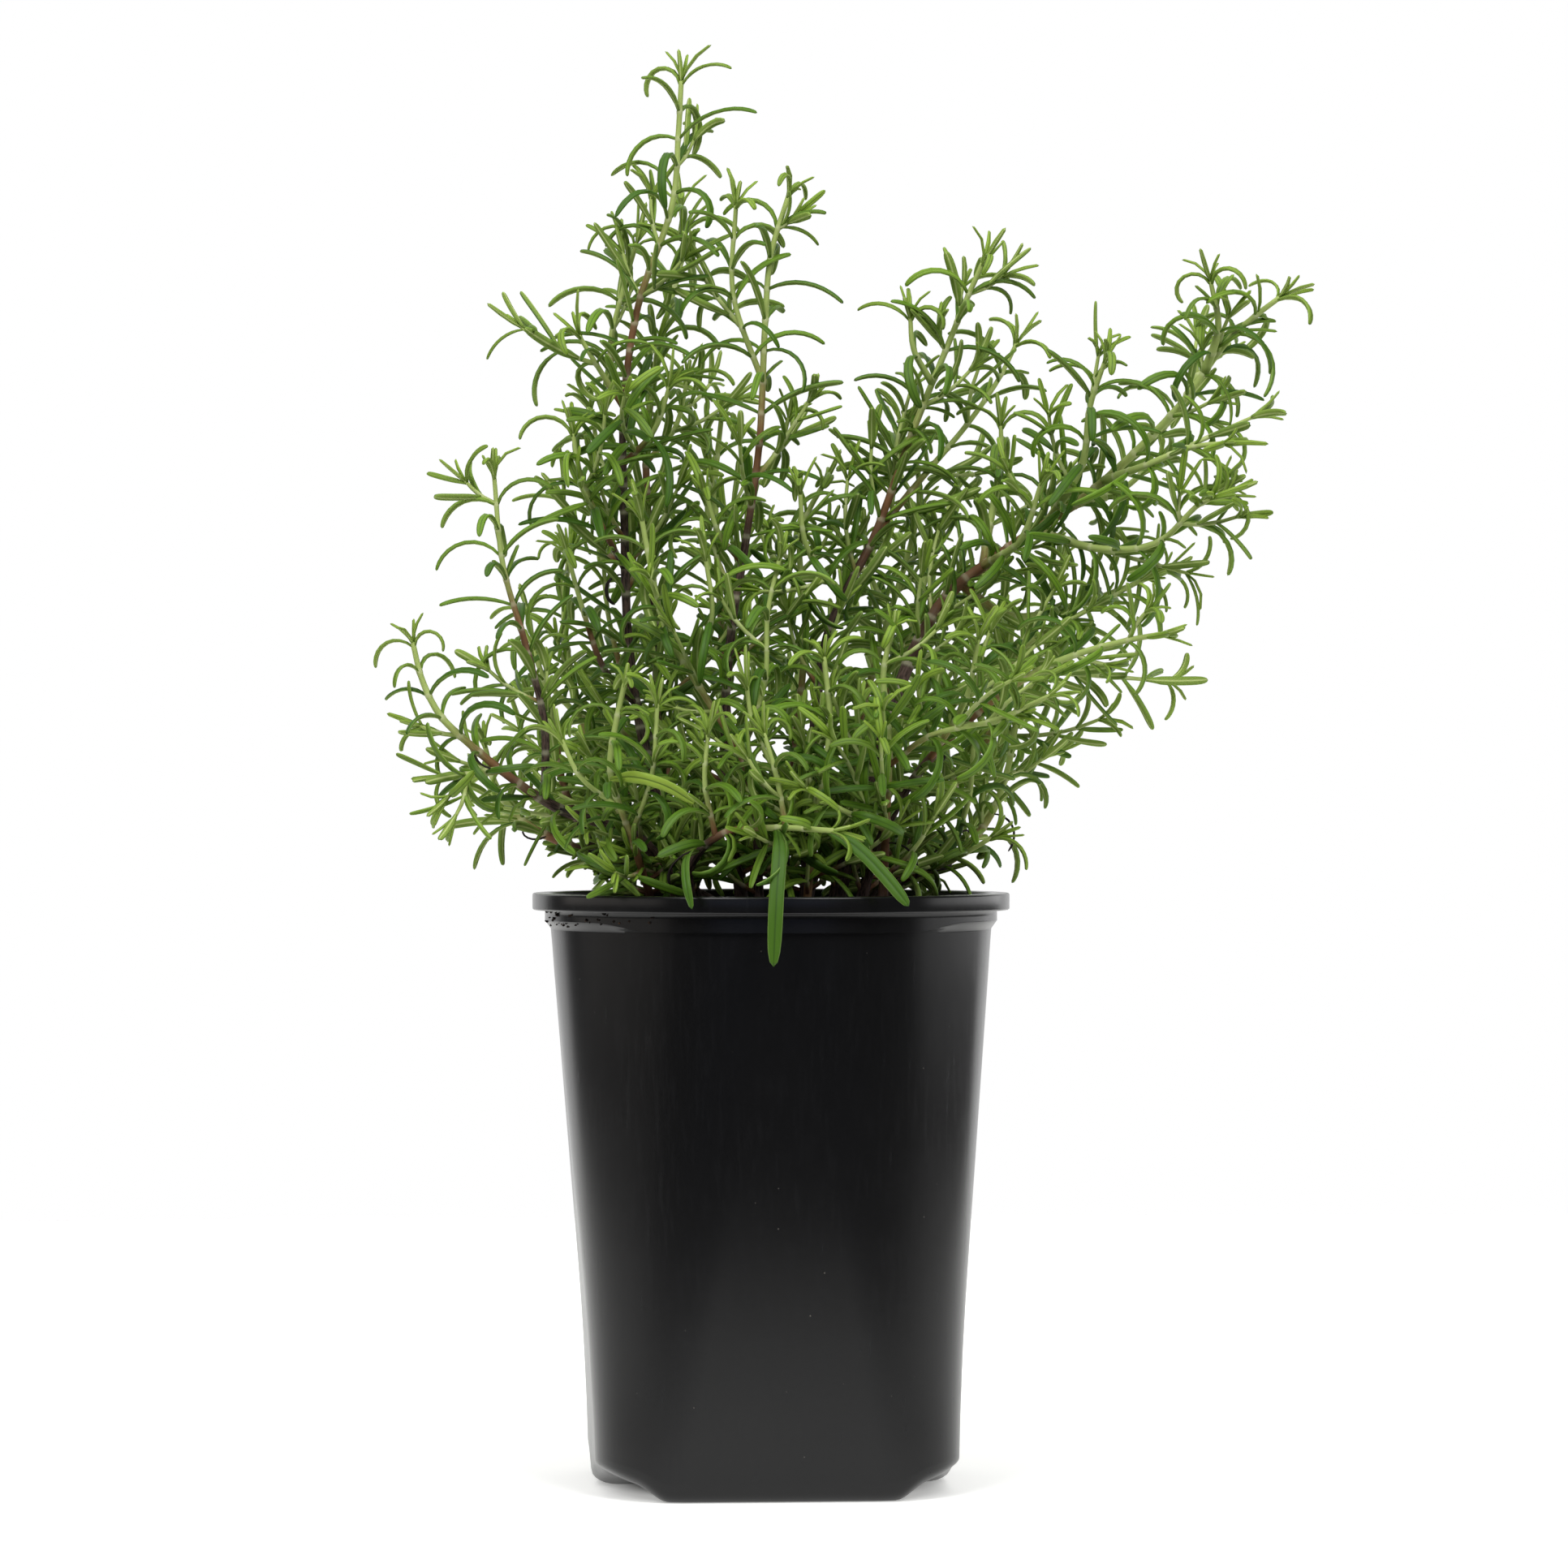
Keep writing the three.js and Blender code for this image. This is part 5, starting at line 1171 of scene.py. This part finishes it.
def stem_shader(tree, settings):
    """Rosemary stem: felted pale green near the tip, then smooth tan, then grey-brown bark that is
    fissured lengthwise, with a pale ring at each joint."""
    age, joint = [add(tree, "Attribute", {"attribute_name": name}, None, "Fac") for name in ("age", "joint")]
    grain = add(tree, "Attribute", {"attribute_name": "grain"}, None, "Vector")
    # The grain is in millimetres
    fissures = repeats("fissure") * MM
    bark = add(tree, "TexNoise", None, {"Vector": grain, "Scale": fissures, "Detail": 3.0}, "Fac")
    # The age at which the colour turns varies by an eighth with the bark
    spread = add(tree, "Math", {"operation": "MULTIPLY_ADD"}, {0: bark, 1: 0.24, 2: -0.12})
    aged = add(tree, "Math", {"operation": "ADD"}, {0: age, 1: spread})
    tan, wood, fissure = [
        add(tree, "MapRange", SMOOTH, dict(zip(RAMP, row))) for row in (
            (aged, 0.3, 0.62, 1.0), (aged, 0.6, 0.9, 1.0), (bark, 0.56, 0.4, 1.0))]
    old = add(tree, "Mix", COLOUR, {SHARE: fissure, UNDER: LINEAR["wood"], OVER: LINEAR["wood_dark"]}, MIXED)
    ring = add(tree, "Math", PRODUCT, {0: joint, 1: 0.45})
    colour = (*settings.stem_young, 1)
    for share, over in ((tan, LINEAR["stem_middle"]), (wood, old), (ring, LINEAR["joint"])):
        colour = add(tree, "Mix", COLOUR, {SHARE: share, UNDER: colour, OVER: over}, MIXED)
    relief = add(tree, "MapRange", None, {VALUE: wood, LOW: 0.15, HIGH: 0.9})
    bump = add(tree, "Bump", None, {"Strength": relief, "Distance": 0.5 * MM, "Height": bark})
    return add(tree, "BsdfPrincipled", None, {
        "Base Color": colour, "Roughness": 0.78, "Normal": bump, "Specular IOR Level": 0.3})


def plastic_shader(tree, settings):
    """Black polypropylene, injection moulded: a satin skin with a faint cloudiness from the mould,
    fine upright rubs from stacking, and specks of pale dust where the clouds allow."""
    place = add(tree, "TexCoord", None, None, "Object")
    tall = add(tree, "Mapping", None, {"Vector": place, "Scale": (1.0, 1.0, 1 / RUB_STRETCH)})
    clouds = add(tree, "TexNoise", None, {"Vector": place, "Scale": repeats("cloud"), "Detail": 3.0}, "Fac")
    rubs = add(tree, "TexNoise", None, {"Vector": tall, "Scale": repeats("rub"), "Detail": 2.0}, "Fac")
    specks = add(tree, "TexVoronoi", None, {"Vector": place, "Scale": repeats("dust")}, "Distance")
    dust = add(tree, "MapRange", None, {VALUE: specks, START: 0.05, END: 0.025})
    patch = add(tree, "MapRange", SMOOTH, {VALUE: clouds, START: 0.48, END: 0.62})
    for share in (patch, settings.dust):
        dust = add(tree, "Math", PRODUCT, {0: dust, 1: share})
    worn = add(tree, "MapRange", None, {VALUE: rubs, START: 0.5, END: 0.75, HIGH: 0.3})
    colour = (*settings.plastic, 1)
    for share, over in ((worn, LINEAR["plastic_worn"]), (dust, LINEAR["dust"])):
        colour = add(tree, "Mix", COLOUR, {SHARE: share, UNDER: colour, OVER: over}, MIXED)
    rough = add(tree, "MapRange", None, {VALUE: clouds, START: 0.3, END: 0.7, LOW: 0.23, HIGH: 0.26})
    rough = add(tree, "MapRange", None, {VALUE: rubs, START: 0.5, END: 0.8, LOW: rough, HIGH: 0.28})
    bump = add(tree, "Bump", None, {"Strength": 0.02, "Distance": 0.1 * MM, "Height": rubs})
    return add(tree, "BsdfPrincipled", None, {
        "Base Color": colour, "Roughness": rough, "Normal": bump, "IOR": 1.5, "Specular IOR Level": 0.36})


def soil_shader(tree):
    """Peat and bark mix: dark, rough and crumbly, with lighter fibres."""
    place = add(tree, "TexCoord", None, None, "Object")
    crumbs = add(tree, "TexNoise", None, {"Vector": place, "Scale": repeats("crumb"), "Detail": 4.0}, "Fac")
    fibres = add(tree, "TexVoronoi", None, {"Vector": place, "Scale": repeats("fibre")}, "Distance")
    light = add(tree, "MapRange", SMOOTH, {VALUE: crumbs, START: 0.5, END: 0.68})
    colours = {SHARE: light, UNDER: LINEAR["soil"], OVER: LINEAR["soil_light"]}
    colour = add(tree, "Mix", COLOUR, colours, MIXED)
    bump = add(tree, "Bump", None, {"Strength": 0.8, "Distance": 1.0 * MM, "Height": crumbs})
    bump = add(tree, "Bump", None, {"Strength": 0.5, "Distance": 0.8 * MM, "Height": fibres, "Normal": bump})
    return add(tree, "BsdfPrincipled", None, {
        "Base Color": colour, "Roughness": 0.95, "Normal": bump, "Specular IOR Level": 0.2})


def dead_leaf_shader(tree):
    """Dried rosemary leaf: black-brown, shrunken and dull."""
    place = add(tree, "TexCoord", None, None, "Object")
    folds = add(tree, "TexNoise", None, {"Vector": place, "Scale": repeats("fold"), "Detail": 2.0}, "Fac")
    bump = add(tree, "Bump", None, {"Strength": 0.6, "Distance": 0.3 * MM, "Height": folds})
    return add(tree, "BsdfPrincipled", None, {
        "Base Color": LINEAR["dead_leaf"], "Roughness": 0.85, "Normal": bump})


def floor_shader(tree, colour):
    """Pale paper, lit a little from within like a light table, that fades out at a distance: the sum of
    the fourth powers of the shares of the oval's half sizes."""
    place = add(tree, "TexCoord", None, None, "Object")
    away = place
    for operation, by in (
            ("SUBTRACT", (0, FLOOR_CENTRE * MM, 0)), ("DIVIDE", (FLOOR_HALF[0] * MM, FLOOR_HALF[1] * MM, 1))):
        away = add(tree, "VectorMath", {"operation": operation}, {0: away, 1: by})
    square = add(tree, "VectorMath", PRODUCT, {0: away, 1: away})
    powers = add(tree, "VectorMath", {"operation": "DOT_PRODUCT"}, {0: square, 1: square}, "Value")
    beside = add(tree, "VectorMath", {"operation": "LENGTH"}, {0: place}, "Value")
    fade, glow = [add(tree, "MapRange", SMOOTH, dict(zip(RAMP, row))) for row in (
        (powers, *FLOOR_FADE, 1.0), (beside, GLOW_RING[0] * MM, GLOW_RING[1] * MM, FLOOR_GLOW))]
    paper = add(tree, "BsdfPrincipled", None, {
        "Base Color": colour, "Roughness": 1.0, "Specular IOR Level": 0.0, "Emission Color": colour,
        "Emission Strength": glow})
    return add(tree, "MixShader", None, {0: fade, 1: paper, 2: add(tree, "BsdfTransparent")})


# Stage


def make_floor(colour):
    """The floor: rings of an oval of the fourth power, so a direction's sines and cosines are rooted."""
    angle = round_angles(FLOOR_SIDES)
    flat = polar(1.0, angle, 0.0)
    reach = np.array([*FLOOR_HALF, 0.0]) * FLOOR_FADE[1] ** 0.25
    oval = np.sign(flat) * np.sqrt(np.abs(flat)) * reach
    rings = oval * np.linspace(INNERMOST, 1, FLOOR_RINGS)[:, None, None]
    points = np.vstack([rings.reshape(-1, 3), (0, 0, 0)]) + (0, FLOOR_CENTRE, 0)
    centre = end_faces(0, FLOOR_SIDES, FLOOR_RINGS * FLOOR_SIDES)
    floor = put_mesh("floor", points, ring_faces(FLOOR_RINGS, FLOOR_SIDES)[:, ::-1], centre)
    floor.data.materials.append(make_material("pale paper floor", floor_shader, colour))


def make_world(scene):
    """White where it is seen, and a dim even room for what the object reflects."""
    world = bpy.data.worlds.new("studio")
    world.use_nodes = True
    tree = world.node_tree
    tree.nodes.clear()
    room, white = [
        add(tree, "Background", None, {"Color": (1, 1, 1, 1), "Strength": strength})
        for strength in (ROOM_STRENGTH, 1.0)]
    seen = add(tree, "LightPath", None, None, "Is Camera Ray")
    add(tree, "OutputWorld", None, {"Surface": add(tree, "MixShader", None, {0: seen, 1: room, 2: white})})
    scene.world = world


def make_light(scene, name, place, aim, size, power, colour):
    """A rectangular area light that looks from its place to its aim on the axis, and isn't seen."""
    data = bpy.data.lights.new(name, "AREA")
    data.shape, data.size, data.size_y = "RECTANGLE", size[0] * MM, size[1] * MM
    data.energy, data.color = power, linear(colour)[:3]
    light = bpy.data.objects.new(name, data)
    place, aim = turn_plant(place) * MM, turn_plant((0, 0, aim)) * MM
    light.location = place
    light.rotation_euler = Vector(aim - place).to_track_quat("-Z", "Y").to_euler()
    light.visible_camera = False
    scene.collection.objects.link(light)


def make_camera(scene):
    """A level camera whose lens is the sensor's width times the focal length in picture widths."""
    data = bpy.data.cameras.new("camera")
    data.sensor_width, data.lens = SENSOR, SENSOR * FOCAL_PIXELS / IMAGE_PIXELS
    data.clip_end = FAR_CLIP
    camera = bpy.data.objects.new("camera", data)
    camera.location = turn_plant(CAMERA_PLACE) * MM
    camera.rotation_euler = (QUARTER, 0, PLANT_TURN)
    scene.collection.objects.link(camera)
    scene.camera = camera


# Settings


def colour_setting(name, description, colour):
    """A colour that can be set, at first one of COLOURS."""
    return FloatVectorProperty(
        name=name, description=description, subtype="COLOR", min=0, max=1, default=LINEAR[colour][:3])


class PotSettings(PropertyGroup):
    plastic: colour_setting("Plastic", "Colour of the pot's plastic", "plastic")
    dust: FloatProperty(
        name="Dust", description="How much of the dust on the pot shows", subtype="FACTOR", default=0.8,
        min=0, max=1)


class PlantSettings(PropertyGroup):
    leaf_width: FloatProperty(
        name="Leaf width", description="Width of a grown leaf", unit="LENGTH", default=3.0 * MM, min=0)
    leaf_dark: colour_setting("Dark leaves", "Colour of the darkest leaves", "leaf")
    leaf_light: colour_setting("Light leaves", "Colour of the lightest grown leaves", "leaf_light")
    stem_young: colour_setting("Young stems", "Colour of the stems near their tips", "stem_young")


class StageSettings(PropertyGroup):
    floor: colour_setting("Floor", "Colour of the floor", "floor")
    light: FloatProperty(
        name="Light", description="Strength of all the lights", default=1.0, min=0)


# Operators


class ROSEMARY_OT_pot(Operator):
    """Makes the nursery pot"""

    bl_idname = "rosemary.pot"
    bl_label = "Nursery pot"

    def execute(self, context):
        pot = put_mesh("nursery_pot", *closed_skin(pot_rings(), (0, 0, 0), (0, 0, FLOOR)))
        cut_drains(pot)
        pot.data.shade_smooth()
        pot.data.set_sharp_from_angle(angle=SHARP_EDGE)
        material = make_material(
            "black polypropylene, injection moulded", plastic_shader, context.scene.rosemary_pot)
        finish_piece(pot, ["pot"], material)
        return {"FINISHED"}


class ROSEMARY_OT_soil(Operator):
    """Makes the potting mix and its loose crumbs"""

    bl_idname = "rosemary.soil"
    bl_label = "Potting mix"

    def execute(self, context):
        material = make_material("peat and bark potting mix", soil_shader)
        finish_piece(put_mesh("potting_mix_ball", *soil_mesh()), ["potting_mix"], material)
        finish_piece(put_mesh("soil_crumbs", *crumb_mesh(*crumb_places())), [], material)
        return {"FINISHED"}


class ROSEMARY_OT_stems(Operator):
    """Makes each stem with its branches and side shoots"""

    bl_idname = "rosemary.stems"
    bl_label = "Stems"

    def execute(self, context):
        material = make_material(
            "rosemary stem, green felt to fissured bark", stem_shader, context.scene.rosemary_plant)
        for name, axes in plant().items():
            points, *rest = join([stem_tube(axis) for axis in axes])
            stem = put_mesh("stem_" + name, turn_plant(points), *rest)
            finish_piece(stem, ["woody_stem_" + name], material)
        return {"FINISHED"}


class ROSEMARY_OT_leaves(Operator):
    """Makes the leaves of each stem, and the dried leaves"""

    bl_idname = "rosemary.leaves"
    bl_label = "Leaves"

    def execute(self, context):
        settings = context.scene.rosemary_plant
        material = make_material("rosemary leaf, waxed above and felted below", leaf_shader, settings)
        width = settings.leaf_width / MM
        for name, axes in plant().items():
            grown = clear_rows([row for axis in axes for row in grown_rows(axis)])
            small = clear_rows([row for axis in axes for row in small_rows(axis, axes)])
            parts = [
                leaf_mesh(grown, width, LEAF_SECTION, LEAF_RINGS),
                leaf_mesh(small, width, TUFT_SECTION, TUFT_RINGS),
                *[lone_leaf(*leaf) for stem, *leaf in LONE_LEAVES if stem == name],
            ]
            points, *rest = join(parts)
            leaves = put_mesh("leaves_" + name, turn_plant(points), *rest)
            finish_piece(leaves, ["leafy_stem_" + name], material)
        points, quads, triangles, _ = leaf_mesh(dried_rows(), DRIED["width"], TUFT_SECTION, LEAF_RINGS)
        dried = put_mesh("dried_leaves", turn_plant(points), quads, triangles)
        finish_piece(dried, [], make_material("dried rosemary leaf", dead_leaf_shader))
        return {"FINISHED"}


class ROSEMARY_OT_stage(Operator):
    """Makes the floor, the lights and the camera"""

    bl_idname = "rosemary.stage"
    bl_label = "Stage"

    def execute(self, context):
        settings = context.scene.rosemary_stage
        make_floor((*settings.floor, 1))
        make_world(context.scene)
        for name, place, aim, size, power, colour in LIGHTS:
            make_light(context.scene, name, place, aim, size, power * settings.light, colour)
        make_camera(context.scene)
        context.scene.view_settings.view_transform = "Standard"
        return {"FINISHED"}


class ROSEMARY_PT_panel(Panel):
    """Lists what can be made, with its settings"""

    bl_idname = "ROSEMARY_PT_panel"
    bl_label = "Potted rosemary plant"
    bl_space_type = "VIEW_3D"
    bl_region_type = "UI"
    bl_category = "Rosemary"

    def draw(self, context):
        for operator in OPERATORS:
            self.layout.operator(operator.bl_idname)
        for name, group in SETTINGS.items():
            box = self.layout.box()
            for prop in group.__annotations__:
                box.prop(getattr(context.scene, name), prop)


OPERATORS = (ROSEMARY_OT_pot, ROSEMARY_OT_soil, ROSEMARY_OT_stems, ROSEMARY_OT_leaves, ROSEMARY_OT_stage)
SETTINGS = {"rosemary_pot": PotSettings, "rosemary_plant": PlantSettings, "rosemary_stage": StageSettings}


def register():
    """Registers the settings, the operators and the panel."""
    for group in (*SETTINGS.values(), *OPERATORS, ROSEMARY_PT_panel):
        bpy.utils.register_class(group)
    for name, group in SETTINGS.items():
        setattr(bpy.types.Scene, name, PointerProperty(type=group))


def unregister():
    """Takes the settings, the operators and the panel off again."""
    for name in SETTINGS:
        delattr(bpy.types.Scene, name)
    for group in (ROSEMARY_PT_panel, *reversed(OPERATORS), *SETTINGS.values()):
        bpy.utils.unregister_class(group)


def main():
    """Makes everything."""
    register()
    for name in ("pot", "soil", "stems", "leaves", "stage"):
        getattr(bpy.ops.rosemary, name)()


if __name__ == "__main__":
    main()
